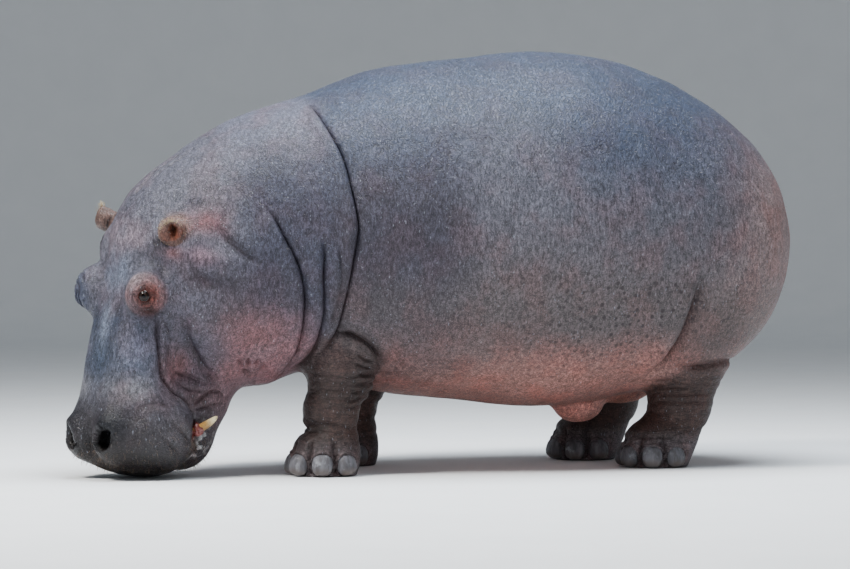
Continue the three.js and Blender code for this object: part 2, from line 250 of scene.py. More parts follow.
def ear_lip(turn):
    """How far the rim stands out of the mouth's plane: high at the back, notched in front."""
    notch = np.exp(-(((turn - 4.15) / 0.5) ** 2)) + np.exp(-(((turn - 4.15 + 2 * math.pi) / 0.5) ** 2))
    return 3 * np.cos(turn - 1.7) - 3 - 11 * notch


def ear_distance(side, q, wall):
    """A rounded fleshy cup on a stem, open towards its mouth."""
    axes, length = ear_axes(side)
    v = (q - mirror(side, EAR_MOUTHS[side])) @ axes.T
    x, y, out = v[:, 0] / 0.9, v[:, 1] / 1.08, v[:, 2]
    rho, turn = np.hypot(x, y), np.arctan2(y, x * side)
    outer = np.interp(out, [-length, -0.62 * length, -0.3 * length, 4], np.array([0.5, 0.66, 0.88, 0.88]) * EAR_RADIUS)
    outer = outer + 1.5 * np.sin(3 * turn + 1)
    shell = smooth_max((rho - outer) * 0.95, out - ear_lip(turn % (2 * math.pi)), 11)
    hollow = mass((side * -2, 1, 8), (EAR_RADIUS * 0.79 - wall, EAR_RADIUS * 0.97 - wall, 50))
    ridges = 1.6 * np.sin(5 * turn + 0.5) * np.exp(-(((out + 22) / 16) ** 2))
    return smooth_max(shell, -mass_distance(hollow, v) + ridges, 9)


NOSTRIL = np.array([98.0, 2.0, 786.0])
NOSTRIL_WAY = unit((0.42, 0.86, 0.26))


def nostril_distance(q):
    """The pit of each nostril, a slanting oval that opens outward and up."""
    v = np.abs(q) * (1, 0, 0) + q * (0, 1, 1) - NOSTRIL
    across = unit(np.cross(NOSTRIL_WAY, (-0.3, 0.26, 0.95)))
    v = v @ np.array([across, NOSTRIL_WAY, np.cross(across, NOSTRIL_WAY)]).T
    hook = 0.005 * v[:, 2] ** 2  # bends the oval like a comma
    return mass_distance(mass((0, 0, 0), (29, 58, 40)), v + np.stack([hook, 0 * hook, 0 * hook], 1))


EAR_WALL = 10.0
NET_EAR_WALL = 20.0  # thick enough for the coarse grid
NET_SOFTNESS = 3  # rounds thin edges off for the coarse grid


def body_distance(p, ear_wall=EAR_WALL, soft=1):
    """The bare hide: below 0 inside the body."""
    p = np.asarray(p, float)
    d = blended(TRUNK, p)
    near = np.flatnonzero(p[:, 1] < -900)
    if len(near):
        q = to_head(p[near])
        h = blended(HEAD, q, d[near])
        for side in (1, -1):
            at = mirror(side, EYE)
            join_near(h, q, at - 90, at + 90, lambda v: np.linalg.norm(v - at, axis=1) - EYE_RADIUS - 5, 16)
            at = mirror(side, EAR_MOUTHS[side])
            join_near(h, q, at - 150, at + 90, lambda v: ear_distance(side, v, ear_wall), 22)
        front = np.flatnonzero(q[:, 2] > 650)
        if len(front):
            h[front] = smooth_max(h[front], -nostril_distance(q[front]), 16 * soft)
            pocket = mass((184, -306, 704), (26, 34, 40), pair=True)
            h[front] = smooth_max(h[front], -mass_distance(pocket, q[front]), 14)
        d[near] = h
    for leg in LEGS:
        fx, fy = leg.foot
        low = (fx - 290, fy - 280, -60)
        join_near(d, p, low, (fx + 290, fy + 420, 640), lambda v: leg_distance(leg, v), 50)
    join_near(d, p, (-120, 730, 560), (120, 1040, 1200), lambda v: limb_distance(TAIL_LINE, v), 30)
    bulge = mass((0, 150, 226), (84, 96, 74))
    flap = mass((0, 330, 300), (60, 130, 80))
    join_near(d, p, (-220, -60, 60), (220, 560, 460), lambda v: mass_distance(bulge, v), 30)
    join_near(d, p, (-220, 100, 120), (220, 560, 460), lambda v: mass_distance(flap, v), 45)
    d = smooth_max(d, -3 - nail_distance(p), 5 * soft)
    return smooth_max(d, -p[:, 2], 8)


def outward(p, h=1.5):
    """The field's slope at each point."""
    corners = np.array([(1, -1, -1), (-1, -1, 1), (-1, 1, -1), (1, 1, 1)], float)
    return sum(c * body_distance(p + h * c)[:, None] for c in corners) / (4 * h)


def settle(p, rounds=2):
    """Moves points onto the hide."""
    for _ in range(rounds):
        g = outward(p)
        step = body_distance(p) / np.maximum((g * g).sum(1), 0.04)
        p = p - np.clip(step, -12, 12)[:, None] * g
    return p


# ---------------------------------------------------------------- from millimetres to the frame
def middle_of(node):
    low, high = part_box(node)
    return np.array((low + high) / 2)


SHIFT = middle_of("eye_left") - from_head(EYE) / 1000


def to_frame(p):
    return np.asarray(p, float) / 1000 + SHIFT


def build_mesh(name, points, faces, smooth=True):
    """An object from points in millimetres and an array of faces that all have as many corners."""
    mesh = bpy.data.meshes.new(name)
    faces = np.asarray(faces, np.int32)
    mesh.vertices.add(len(points))
    mesh.vertices.foreach_set("co", to_frame(points).astype(np.float32).ravel())
    mesh.loops.add(faces.size)
    mesh.loops.foreach_set("vertex_index", faces.ravel())
    mesh.polygons.add(len(faces))
    mesh.polygons.foreach_set("loop_start", np.arange(0, faces.size, faces.shape[1], dtype=np.int32))
    mesh.update(calc_edges=True)
    if smooth:
        mesh.polygons.foreach_set("use_smooth", np.ones(len(faces), bool))
    obj = bpy.data.objects.new(name, mesh)
    bpy.context.scene.collection.objects.link(obj)
    return obj


def points_of(mesh):
    co = np.empty(len(mesh.vertices) * 3, np.float32)
    mesh.vertices.foreach_get("co", co)
    return (co.reshape(-1, 3).astype(float) - SHIFT) * 1000


def set_points(mesh, points):
    mesh.vertices.foreach_set("co", to_frame(points).astype(np.float32).ravel())
    mesh.update()


def set_attribute(mesh, name, values):
    """A number or a colour for each vertex."""
    values = np.asarray(values, np.float32)
    if values.ndim == 1:
        mesh.attributes.new(name, "FLOAT", "POINT").data.foreach_set("value", values)
    else:
        rgba = np.concatenate([values, np.ones((len(values), 1), np.float32)], 1)
        mesh.attributes.new(name, "FLOAT_COLOR", "POINT").data.foreach_set("color", rgba.ravel())


# ---------------------------------------------------------------- small numeric helpers
def ramp(x, start, end):
    """0 before start, 1 after end, smooth between them."""
    t = np.clip((x - start) / (end - start), 0, 1)
    return t * t * (3 - 2 * t)


def bell(x, middle, width):
    return np.exp(-(((x - middle) / width) ** 2))


def noise(p, size, seed=0):
    """Smooth noise from -1 to 1 whose grain has that size."""
    q = p / size + 1000.0
    cell = np.floor(q).astype(np.int64)
    t = q - cell
    t = t * t * (3 - 2 * t)
    total = 0
    for corner in np.ndindex(2, 2, 2):
        c = cell + corner
        h = (c[:, 0] * 73856093) ^ (c[:, 1] * 19349663) ^ (c[:, 2] * 83492791) ^ (seed * 2654435761)
        h = (h ^ (h >> 13)) * 1274126177
        value = ((h ^ (h >> 16)) & 0xFFFF) / 32767.5 - 1
        total = total + value * np.where(corner, t, 1 - t).prod(1)
    return total


# ---------------------------------------------------------------- meshing the field
CELL = 9.0
BLOCK = 4


def sample_field(low, counts):
    """The field on a grid, exact near the hide and one value for each block elsewhere."""
    blocks = np.argwhere(np.ones(np.array(counts) // BLOCK, bool))
    centres = low + (blocks * BLOCK + (BLOCK - 1) / 2) * CELL
    coarse = body_distance(centres, NET_EAR_WALL, NET_SOFTNESS)
    grid = np.empty(np.array(counts) // BLOCK, np.float32)
    grid[tuple(blocks.T)] = coarse
    for axis in range(3):
        grid = np.repeat(grid, BLOCK, axis)
    near = blocks[np.abs(coarse) < 6 * CELL] * BLOCK
    inner = np.array(list(np.ndindex(BLOCK, BLOCK, BLOCK)))
    cells = (near[:, None] + inner).reshape(-1, 3)
    grid[tuple(cells.T)] = body_distance(low + cells * CELL, NET_EAR_WALL, NET_SOFTNESS)
    return grid


def surface_net(grid, low):
    """A closed mesh of quads with one vertex in each cell that the zero surface passes."""
    inside = grid < 0
    size = np.array(grid.shape) - 1
    corners = list(np.ndindex(2, 2, 2))
    parts = [inside[tuple(slice(c, c + s) for c, s in zip(corner, size))] for corner in corners]
    count = sum(part.astype(np.uint8) for part in parts)
    active = (count > 0) & (count < 8)
    cells = np.argwhere(active)
    ids = np.full(active.shape, -1, np.int32)
    ids[active] = np.arange(len(cells))
    total, hits = np.zeros((len(cells), 3)), np.zeros(len(cells))
    for a in corners:
        for axis in range(3):
            if a[axis] == 0:
                step = np.eye(3, dtype=int)[axis]
                va, vb = grid[tuple((cells + a).T)], grid[tuple((cells + a + step).T)]
                cross = (va < 0) != (vb < 0)
                t = np.where(cross, va / np.where(cross, va - vb, 1), 0)
                total += cross[:, None] * (np.array(a) + t[:, None] * step)
                hits += cross
    points = low + (cells + total / hits[:, None]) * CELL
    quads = []
    for axis in range(3):
        step = np.eye(3, dtype=int)[axis]
        other, third = np.eye(3, dtype=int)[(axis + 1) % 3], np.eye(3, dtype=int)[(axis + 2) % 3]
        here = inside[tuple(slice(0, s) for s in size)]
        there = inside[tuple(slice(k, k + s) for k, s in zip(step, size))]
        edges = np.argwhere(here != there)
        edges = edges[(edges[:, (axis + 1) % 3] > 0) & (edges[:, (axis + 2) % 3] > 0)]
        ring = [ids[tuple((edges + o).T)] for o in (0 * step, -other, -other - third, -third)]
        quad = np.stack(ring, 1)
        outward_first = here[tuple(edges.T)]
        quads.append(np.where(outward_first[:, None], quad, quad[:, ::-1]))
    return points, np.concatenate(quads)


def refine(mesh, chosen):
    """Splits every face whose corners are all chosen in four, and puts the new points on the hide."""
    bm = bmesh.new()
    bm.from_mesh(mesh)
    edges = [e for e in bm.edges if chosen[e.verts[0].index] and chosen[e.verts[1].index]]
    bmesh.ops.subdivide_edges(bm, edges=edges, cuts=1, use_grid_fill=True)
    bm.to_mesh(mesh)
    bm.free()
    p = points_of(mesh)
    p[len(chosen):] = settle(p[len(chosen):])
    set_points(mesh, p)
    return p


def near_foot(p, out, top):
    return np.any([(np.hypot(*(p[:, :2] - leg.foot).T) < out) & (p[:, 2] < top) for leg in LEGS], 0)


def near_any(q, places, radius):
    """Head points near a place or near its mirror image."""
    folded = np.abs(q) * (1, 0, 0) + q * (0, 1, 1)
    return np.any([np.linalg.norm(folded - place, axis=1) < radius for place in places], 0)


def bare_hide():
    low = np.array([-660.0, -2200.0, -20.0])
    counts = (148, 364, 176)
    points, quads = surface_net(sample_field(low, counts), low)
    hide = build_mesh("hide", settle(points), quads)
    p = points_of(hide.data)
    p = refine(hide.data, (p[:, 1] < -840) | near_foot(p, 190, 470))
    q = to_head(p)
    fine = near_any(q, [EYE], 100) | near_any(q, [(70, -10, 786)], 62) | near_any(q, [(170, -320, 690)], 85)
    fine |= near_any(q, [EAR_ROOT + (70, 60, 25)], 95) & (q[:, 1] > -95)
    fine |= nail_distance(p) < 16
    p = refine(hide.data, fine & (nail_distance(p) > -12))
    refine(hide.data, near_any(to_head(p), [EYE], 44))
    return hide


# ---------------------------------------------------------------- sculpting tools
def spline(points, spacing=6.0):
    """Points along a smooth curve through the given ones, and how far along each is, from 0 to 1."""
    c = np.asarray(points, float)
    ends = np.concatenate([[2 * c[0] - c[1]], c, [2 * c[-1] - c[-2]]])
    out = []
    for a, b, d, e in zip(ends, ends[1:], ends[2:], ends[3:]):
        count = max(2, int(np.linalg.norm(d - b) / spacing))
        t = np.linspace(0, 1, count, endpoint=False)[:, None]
        out.append(0.5 * (2 * b + (d - a) * t + (2 * a - 5 * b + 4 * d - e) * t**2 + (3 * b - a - 3 * d + e) * t**3))
    line = np.concatenate(out + [c[-1:]])
    walked = np.concatenate([[0], np.cumsum(np.linalg.norm(np.diff(line, axis=0), axis=1))])
    return line, walked / walked[-1]


class Hide:
    """The hide's points while they are sculpted, and the painted shade that follows the sculpting into its grooves."""

    def __init__(self, mesh):
        self.mesh = mesh
        self.p = points_of(mesh)
        self.n = unit(outward(self.p))
        self.rest = self.p.copy()
        self.q = to_head(self.p)
        self.lift = np.zeros(len(self.p))
        self.slide = np.zeros_like(self.p)
        self.shade = np.zeros(len(self.p))

    def apply(self):
        """Moves the points by what has been gathered, and starts again from there."""
        self.p = self.p + self.n * self.lift[:, None] + self.slide
        self.lift[:] = 0
        self.slide[:] = 0

    def crease(self, points, depth, width, fold=0.0, roll=0.0, fade=0.2, dark=1.0):
        """A groove along body points laid on the hide. The side to the left of its way, seen from
        outside, swells by fold and leans over the groove by roll. It fades out at both ends, and dark
        sets how much painted shade lies along the groove."""
        line, along = spline(settle(np.asarray(points, float)))
        line = settle(line, 1)
        reach = width * 6 + (40 if fold else 0)
        near = within(self.rest, line.min(0) - reach, line.max(0) + reach)
        if not len(near):
            return
        p = self.rest[near]
        best = np.full(len(p), np.inf)
        index = np.zeros(len(p), int)
        for i, point in enumerate(line):
            d = ((p - point) ** 2).sum(1)
            closer = d < best
            best[closer], index[closer] = d[closer], i
        tangent = unit(np.gradient(line, axis=0))[index]
        gap = p - line[index]
        normal = self.n[near]
        side = unit(np.cross(normal, tangent))
        across = (gap * side).sum(1)
        over = (gap * tangent).sum(1)
        away = np.sqrt(across**2 + np.maximum(np.abs(over) - 6, 0) ** 2)
        end = np.minimum(along[index], 1 - along[index]) / fade
        strength = ramp(end, 0, 1) if fade > 0 else np.ones(len(p))
        strength = strength * ((gap * normal).sum(1) > -60)
        groove = np.exp(-((away / width) ** 1.5)) * strength
        self.lift[near] -= depth * groove
        self.shade[near] = np.maximum(self.shade[near], dark * groove)
        if fold:
            s = np.maximum(across, 0)
            swell = (1 - np.exp(-((s / width) ** 2))) * np.exp(-((s / (width * 3.2)) ** 2))
            self.lift[near] += fold * swell * strength
        if roll:
            lean = bell(across, width * 0.9, width) * strength
            self.slide[near] -= side * (roll * lean)[:, None]

    def lump(self, places, height, size, head=True):
        """Soft swellings, or hollows where the height is below 0. size is one radius or three."""
        space = self.q if head else self.rest
        for place in places:
            self.lift += height * np.exp(-(((space - place) / np.asarray(size, float)) ** 2).sum(1))


def both(points):
    """Head points and their mirror image, as body points."""
    return [from_head(mirror(side, np.array(points, float))) for side in (1, -1)]


def both_sides(points):
    """Body points and their mirror image across the body's middle."""
    return [np.array(points, float) * (side, 1, 1) for side in (1, -1)]


# ---------------------------------------------------------------- the head's forms
EYE_AXIS = unit((0.75, 0.62, 0.2))
LID_GAP = 4.5  # the lids' height over the eyeball


def shape_eyes(hide):
    """Opens the lids over each eyeball and rings the mound round it with fine folds, with painted shade along the lid
    rims and in the folds' cuts.
    """
    for side in (1, -1):
        axis = mirror(side, EYE_AXIS)
        along = unit(np.array([0, 0, 1.0]) - axis * axis[2])
        up = np.cross(along, axis) * side
        v = to_head(hide.p) - mirror(side, EYE)
        r = np.linalg.norm(v, axis=1)
        near = np.flatnonzero((r < 110) & (v @ axis > -25))
        v, r = v[near], r[near]
        rise = np.degrees(np.arctan2(v @ up, v @ axis))
        swing = np.degrees(np.arctan2(v @ along, v @ axis))
        height = np.where(rise > 0, 66, 70)
        open_ = (np.abs(rise / height) ** 1.8 + np.abs((swing - 2) / 76) ** 1.8) ** (1 / 1.8)
        wave = np.arctan2(v @ up, v @ along)
        target = np.where(open_ < 1, EYE_RADIUS - 5 + (LID_GAP + 5) * ramp(open_, 0.84, 1.0), r)
        out = np.hypot(v @ up, (v @ along) / 1.15) + 2.5 * noise(v, 24, 5) + 2 * np.sin(2 * wave + 0.6)
        fold = 4.0 * bell(out, 32, 4) + 5.0 * bell(out, 47, 5) + 4.0 * bell(out, 62, 5.5) + 2 * bell(out, 76, 6)
        cut = bell(out, 39.5, 3.6) + 0.9 * bell(out, 54.5, 3.8) + 0.65 * bell(out, 69.5, 4)
        strength = (open_ >= 0.98) * (0.62 + 0.38 * np.cos(wave - 2.0)) * (1 - ramp(r, 84, 108))
        target += (fold - 8.0 * cut) * strength
        new = v * (target / r)[:, None] + mirror(side, EYE)
        hide.p[near] = from_head(new)
        # painted shade along the lid rims and in the cuts of the folds
        rims = np.maximum(0.9 * bell(open_, 0.92, 0.08), 0.85 * cut * strength)
        hide.shade[near] = np.maximum(hide.shade[near], rims)


def sculpt_head(hide):
    # mouth line: from in front of the eye down the side of the muzzle and round the lip's corner
    mouth = [(190, -66, 345), (158, -109, 430), (150, -128, 485), (152, -150, 546), (160, -200, 585),
             (166, -262, 612), (180, -290, 664), (172, -325, 724), (150, -345, 775)]
    for line in both(mouth):
        hide.crease(line[:7], depth=17, width=9, fold=7, roll=5, fade=0.16)
        hide.crease(line[5:], depth=13, width=7, fold=4, roll=3, fade=0.12)
    folds = [
        ([(160, -138, 405), (155, -150, 450), (148, -163, 515)], 7, 7, 3),
        ([(240, -112, 300), (228, -147, 359), (200, -191, 411), (179, -259, 464), (187, -321, 512),
          (182, -381, 541), (158, -430, 550)], 17, 16, 9),
        ([(238, -95, 140), (288, -118, 192), (330, -172, 228)], 7, 16, 4),
        ([(288, -154, 7), (336, -205, 69), (368, -279, 106), (385, -346, 132)], 11, 16, 8),
        ([(149, -171, 509), (147, -228, 518), (164, -283, 527), (181, -332, 540)], 10, 7, 6),
        ([(178, -268, 632), (173, -290, 606), (167, -310, 585), (180, -343, 556), (176, -388, 556),
          (166, -415, 575)], 12, 8, 7),
        ([(171, -283, 634), (169, -345, 606), (161, -404, 582)], 9, 7, 6),
        ([(158, -205, 545), (166, -252, 560), (178, -300, 566), (180, -345, 574)], 7, 6, 4),
        ([(182, -318, 668), (180, -365, 655), (168, -412, 640)], 7, 7, 4),
        ([(160, -172, 575), (180, -206, 610), (192, -236, 652)], 6, 7, 4),
        ([(200, -70, 350), (178, -120, 398), (170, -150, 440)], 6, 7, 4),
        ([(150, -20, 690), (176, -70, 660), (190, -140, 640), (196, -200, 650)], 6, 12, 5),
        ([(196, -150, 700), (206, -215, 720), (200, -270, 752)], 6, 10, 5),
        ([(206, -120, 740), (214, -180, 770), (204, -240, 800)], 5, 9, 4),
    ]
    for points, depth, width, fold in folds:
        for line in both(points):
            hide.crease(line, depth, width, fold, fade=0.35, dark=0.7)
    # short folds that fan out from the dimple at the corner of the jaw
    dimple = [
        ([(256, -368, 434), (242, -394, 450), (223, -421, 463)], 8, 7, 4),
        ([(270, -401, 422), (252, -420, 440), (229, -440, 455)], 10, 7, 5),
        ([(278, -440, 417), (255, -450, 438), (228, -461, 455)], 10, 7, 5),
        ([(274, -482, 425), (250, -486, 444), (222, -488, 460)], 8, 7, 4),
        ([(225, -410, 461), (205, -462, 472), (216, -489, 463), (249, -485, 443)], 12, 8, 7),
    ]
    for points, depth, width, fold in dimple:
        for line in both(points):
            hide.crease(line, depth, width, fold, fade=0.35, dark=0.9)
    for side in (1, -1):
        m = lambda *v: mirror(side, np.array(v, float))
        hide.lump([m(224, -452, 455)], -9, 26)
        hide.lump([m(315, -165, 215)], -16, (70, 90, 34))  # below the cheekbone
        hide.lump([m(322, -190, 135)], 12, (50, 80, 34))
        hide.lump([m(235, -60, 120)], 9, (40, 34, 60))  # cheekbone
        hide.lump([m(178, -52, 190)], -10, (26, 22, 34))  # between eye and ear
        hide.lump([m(150, -62, 420)], -14, (34, 44, 70))  # in front of the eye
        hide.lump([m(178, 0, 352)], -12, (40, 40, 24))  # the front foot of the eye's mound
        hide.lump([m(168, -8, 102)], 31, (46, 52, 62))  # brow between ear and eye
        hide.lump([m(100, -428, 600)], 15, (90, 60, 74))  # chin
        hide.lump([m(88, 14, 520)], 7, (26, 22, 130))  # ridge along the bridge
        hide.lump([m(150, -105, 600)], 8, (34, 42, 60))  # root of the muzzle
        hide.lump([m(190, -215, 690)], 9, (38, 48, 60))  # cushion over the tusk
        hide.lump([m(200, -150, 800)], 5, (46, 60, 46))
        hide.lump([m(96, 14, 738)], 14, (34, 26, 22))  # rim behind the nostril
        hide.lump([m(132, -18, 790)], 12, (20, 30, 44))  # rim outside it
        hide.lump([m(62, 10, 800)], 6, (18, 26, 40))
        hide.lump([m(60, -100, 868)], -8, (26, 40, 30))
        hide.lump([m(150, -60, 700)], -15, (36, 40, 26))  # behind the nostril's mound
        hide.lump([m(350, -330, 250)], 8, (60, 90, 110))  # jowl
    hide.lump([(0, 0, 790)], -24, (24, 60, 80))  # groove between the nostrils
    hide.lump([(0, 20, 540)], -7, (40, 30, 100))
    hide.lump([(0, 20, 400)], 4, (24, 30, 90))
    hide.lump([(-175, 25, 232)], 10, (40, 40, 36))
    hide.lump([(-165, 6, 172)], 20, (44, 46, 44))
    hide.lump([(0, 20, 120)], 6, (60, 30, 60))
    hide.lump([(0, 10, 215)], -7, (44, 26, 44))


def sculpt_ears(hide):
    """Wrinkles round the foot of each ear, on its front and lower side, and the ridge behind it."""
    for side in (1, -1):
        root = mirror(side, EAR_ROOT + (52, 40, 18))
        axes, _ = ear_axes(side)
        v = (hide.q - root) @ axes.T
        rho = np.hypot(v[:, 0], v[:, 1])
        turn = np.arctan2(v[:, 1], v[:, 0] * side)
        front = 0.12 + 0.88 * (0.5 + 0.5 * np.cos(turn + 1.5)) ** 2
        near = bell(rho, 74, 24) * ramp(rho, 50, 62) * (v[:, 2] < 22) * (v[:, 2] > -70) * front
        ring = np.sin((rho + 5 * noise(hide.q, 26, 6) + 3 * np.sin(3 * turn)) / 13 * 2 * math.pi)
        hide.lift += 1.8 * ring * near
        # painted shade in the wrinkles' grooves
        hide.shade = np.maximum(hide.shade, 0.6 * np.maximum(-ring, 0) * near)
        hide.lump([mirror(side, (232, -75, 40))], 12, (40, 26, 30))
        hide.lump([mirror(side, (262, -118, 75))], 9, (50, 30, 34))
        hide.lump([mirror(side, (236, -96, -38))], -10, (36, 34, 30))


def sculpt_neck(hide):
    folds = [
        # behind the cheek
        ([(372, -1205, 935), (381, -1173, 910), (399, -1133, 821), (402, -1087, 733), (384, -1057, 644),
          (355, -1046, 555), (292, -1047, 435), (197, -1077, 342), (90, -1105, 300)], 19, 13, 18, 13),
        # across the throat
        ([(436, -1002, 840), (430, -999, 760), (413, -997, 689), (359, -977, 555), (301, -987, 449),
          (213, -1035, 358), (80, -1075, 305)], 18, 12, 15, 12),
        ([(455, -950, 800), (442, -938, 700), (404, -940, 600), (350, -950, 505)], 8, 9, 5, 4),
        # from the withers to the front leg
        ([(120, -955, 1315), (207, -953, 1266), (308, -942, 1195), (392, -918, 1096), (442, -905, 985),
          (465, -890, 866), (462, -896, 800), (437, -906, 700), (392, -915, 587), (340, -925, 495),
          (291, -984, 397)], 19, 12, 16, 13),
    ]
    for points, depth, width, fold, roll in folds:
        for side, line in zip((1, -1), both_sides(points)):
            hide.crease(line[::-side], depth, width, fold, roll, fade=0.14, dark=0.9)
    nape = [(123, -1590, 940), (95, -1544, 1004), (80, -1490, 1052), (72, -1430, 1095), (60, -1350, 1140)]
    hide.crease(nape, 12, 10, 4, fade=0.3, dark=0.8)
    hide.crease([(x + 38, y + 14, z + 6) for x, y, z in nape[1:]], 6, 8, 2, fade=0.3, dark=0.6)


def sculpt_trunk(hide):
    for line in both_sides([(570, 400, 740), (546, 370, 640), (515, 350, 551), (473, 335, 473), (416, 308, 401),
                            (352, 284, 345), (280, 262, 305)]):
        hide.crease(line if line[0, 0] < 0 else line[::-1], 34, 24, 26, 12, fade=0.32, dark=0.85)
    for line in both_sides([(366, 325, 352), (378, 399, 359), (384, 464, 362), (372, 530, 374), (325, 590, 388),
                            (255, 625, 396), (180, 640, 402)]):
        hide.crease(line if line[0, 0] < 0 else line[::-1], 13, 13, 10, 4, fade=0.3, dark=0.9)
    hide.lump([(0, -960, 320), (160, -1010, 345), (-160, -1010, 345)], -18, (150, 110, 80), head=False)
    for side in (1, -1):
        hide.lump([(side * 430, 470, 560)], -14, (160, 90, 150), head=False)  # thigh behind the belly
        hide.lump([(side * 60, 850, 820)], -16, (44, 120, 260), head=False)  # cleft beside the tail
    hide.crease([(0, 905, 640), (0, 860, 520), (0, 790, 430), (0, 700, 370)], 16, 22, fade=0.25, dark=0.7)
    belly = [[(150, -560, 262), (250, -540, 300), (320, -520, 340)], [(120, -470, 245), (230, -440, 275)],
             [(60, -520, 250), (60, -300, 228), (80, -60, 222)]]
    for points in belly:
        for line in both_sides(points):
            hide.crease(line, 5, 9, 2, fade=0.4, dark=0.5)


# Each ring round a leg: height, depth, width, and the bearing in degrees where it is deepest.
FORE_RINGS = [(176, 15, 9, 0), (158, 8, 6, 10), (116, 3, 7, 200), (236, 4, 8, 140), (262, 5, 8, 140), (292, 6, 8, 140),
              (322, 6, 8, 140), (350, 5, 8, 140)]
HIND_RINGS = [(108, 5, 10, 30), (136, 3, 9, 200), (205, 3, 7, 60), (232, 4, 7, 80), (258, 4, 7, 60), (284, 4, 7, 90),
              (308, 4, 7, 70)]


def sculpt_legs(hide):
    for leg in LEGS:
        fx, fy = leg.foot
        v = hide.rest - (fx, fy, 0)
        at = np.hypot(v[:, 0], v[:, 1] - 0.25 * v[:, 2])
        near = (at < 200) & (v[:, 2] < 420)
        bearing = np.arctan2(v[:, 0] * leg.side, -v[:, 1])
        rings = FORE_RINGS if leg.name.startswith("fore") else HIND_RINGS
        for i, (height, depth, width, deepest) in enumerate(rings):
            level = height + 7 * np.sin(2 * bearing + i) + 4 * np.sin(5 * bearing + 2 * i)
            strength = 0.25 + 0.75 * (0.5 + 0.5 * np.cos(bearing - math.radians(deepest))) ** 1.5
            groove = np.exp(-np.abs((v[:, 2] - level) / width) ** 1.5) * strength * near
            swell = bell(v[:, 2], level + 2.2 * width, 1.3 * width) * strength * near
            hide.lift += swell * depth * 0.4 - groove * depth
            # painted shade in each ring's groove
            hide.shade = np.maximum(hide.shade, 0.7 * groove * min(1, depth / 6))
        # the roll of skin over each nail, with painted shade under its edge, and the clefts between the toes
        above = nail_distance(hide.rest) if leg is LEGS[0] else None
        if above is not None:
            ring = bell(above, 4, 5.5) * ramp(hide.rest[:, 2], 26, 56)
            hide.lift += 6.0 * ring
            hide.shade = np.maximum(hide.shade, 0.8 * bell(above, -1, 2.5) * ramp(hide.rest[:, 2], 6, 20))
    for leg in LEGS:
        if leg.line is FORE_LINE:
            wrist = (leg.foot[0] + leg.side * 10, leg.foot[1] - 90, 160)
            hide.lump([wrist], -17, (110, 90, 30), head=False)
            hide.lump([(wrist[0], wrist[1], 240)], 6, (90, 80, 44), head=False)
        for gap in (-48, 0, 48):
            a = math.radians(leg.turn + gap)
            ray = np.array([math.sin(a), -math.cos(a), 0])
            foot = np.array([*leg.foot, 0])
            cleft = [foot + ray * reach + (0, 0, z) for reach, z in ((122, 12), (122, 45), (116, 78), (104, 104))]
            hide.crease(cleft, 15, 9, fade=0.0, dark=0.75)
    for side, fy in ((1, -930), (-1, -668)):
        shoulder = [(side * 340, fy - 4, 504), (side * 347, fy + 60, 488), (side * 343, fy + 117, 460),
                    (side * 325, fy + 157, 428), (side * 259, fy + 208, 370)]
        hide.crease(shoulder[:: -side], 19, 11, 14, 8, fade=0.25, dark=1.0)
        for k in range(6):
            start = (side * (330 - 7 * k), fy + 168 - 7 * k, 392 - 20 * k)
            end = (side * (352 - 6 * k), fy + 84 - 10 * k, 426 - 34 * k)
            hide.crease([start, (np.array(start) + end) / 2 + (side * 4, 0, -5), end], 7, 6.5, 3, fade=0.4, dark=0.8)


def undulate(hide):
    """Low swells over the whole body, and finer ones where the mesh is fine enough."""
    calm = 1 - 0.8 * near_any(hide.q, [EYE], 60)
    hide.lift += calm * (2.4 * noise(hide.rest, 130, 1) + 1.3 * noise(hide.rest, 52, 2))
    fine = 1 - ramp(hide.rest[:, 1], -900, -840)
    hide.lift += calm * fine * 1.1 * noise(hide.rest * (1, 1, 0.6), 22, 3)
    brow = np.exp(-(((hide.q - (0, 0, 110)) / (260, 110, 160)) ** 2).sum(1))
    hide.lift += calm * brow * (1.6 * noise(hide.q, 17, 8) + 1.0 * noise(hide.q, 10, 9))


def make_hide():
    obj = bare_hide()
    hide = Hide(obj.data)
    for step in (sculpt_head, sculpt_ears, sculpt_neck, sculpt_trunk, sculpt_legs, undulate):
        step(hide)
    sole = 1 - ramp(hide.rest[:, 2], 2, 14)
    hide.lift *= 1 - sole
    hide.apply()
    shape_eyes(hide)
    hide.p[:, 2] = np.maximum(hide.p[:, 2], 0)
    set_points(obj.data, hide.p)
    return obj, hide


# ---------------------------------------------------------------- paint
def srgb(*levels):
    """A linear colour from 0 to 255 levels."""
    c = np.array(levels, float) / 255
    return np.where(c < 0.04045, c / 12.92, ((c + 0.055) / 1.055) ** 2.4)


def leg_share(p):
    """1 on the legs below the body, 0 away from them."""
    share = np.zeros(len(p))
    low = np.flatnonzero(p[:, 2] < 640)
    for leg in LEGS:
        d = leg_distance(leg, p[low])
        top = 560 if leg.line is FORE_LINE else 440
        share[low] = np.maximum(share[low], (1 - ramp(d, 4, 46)) * (1 - ramp(p[low, 2] + 30 * noise(p[low], 60, 19), top - 150, top)))
    return share


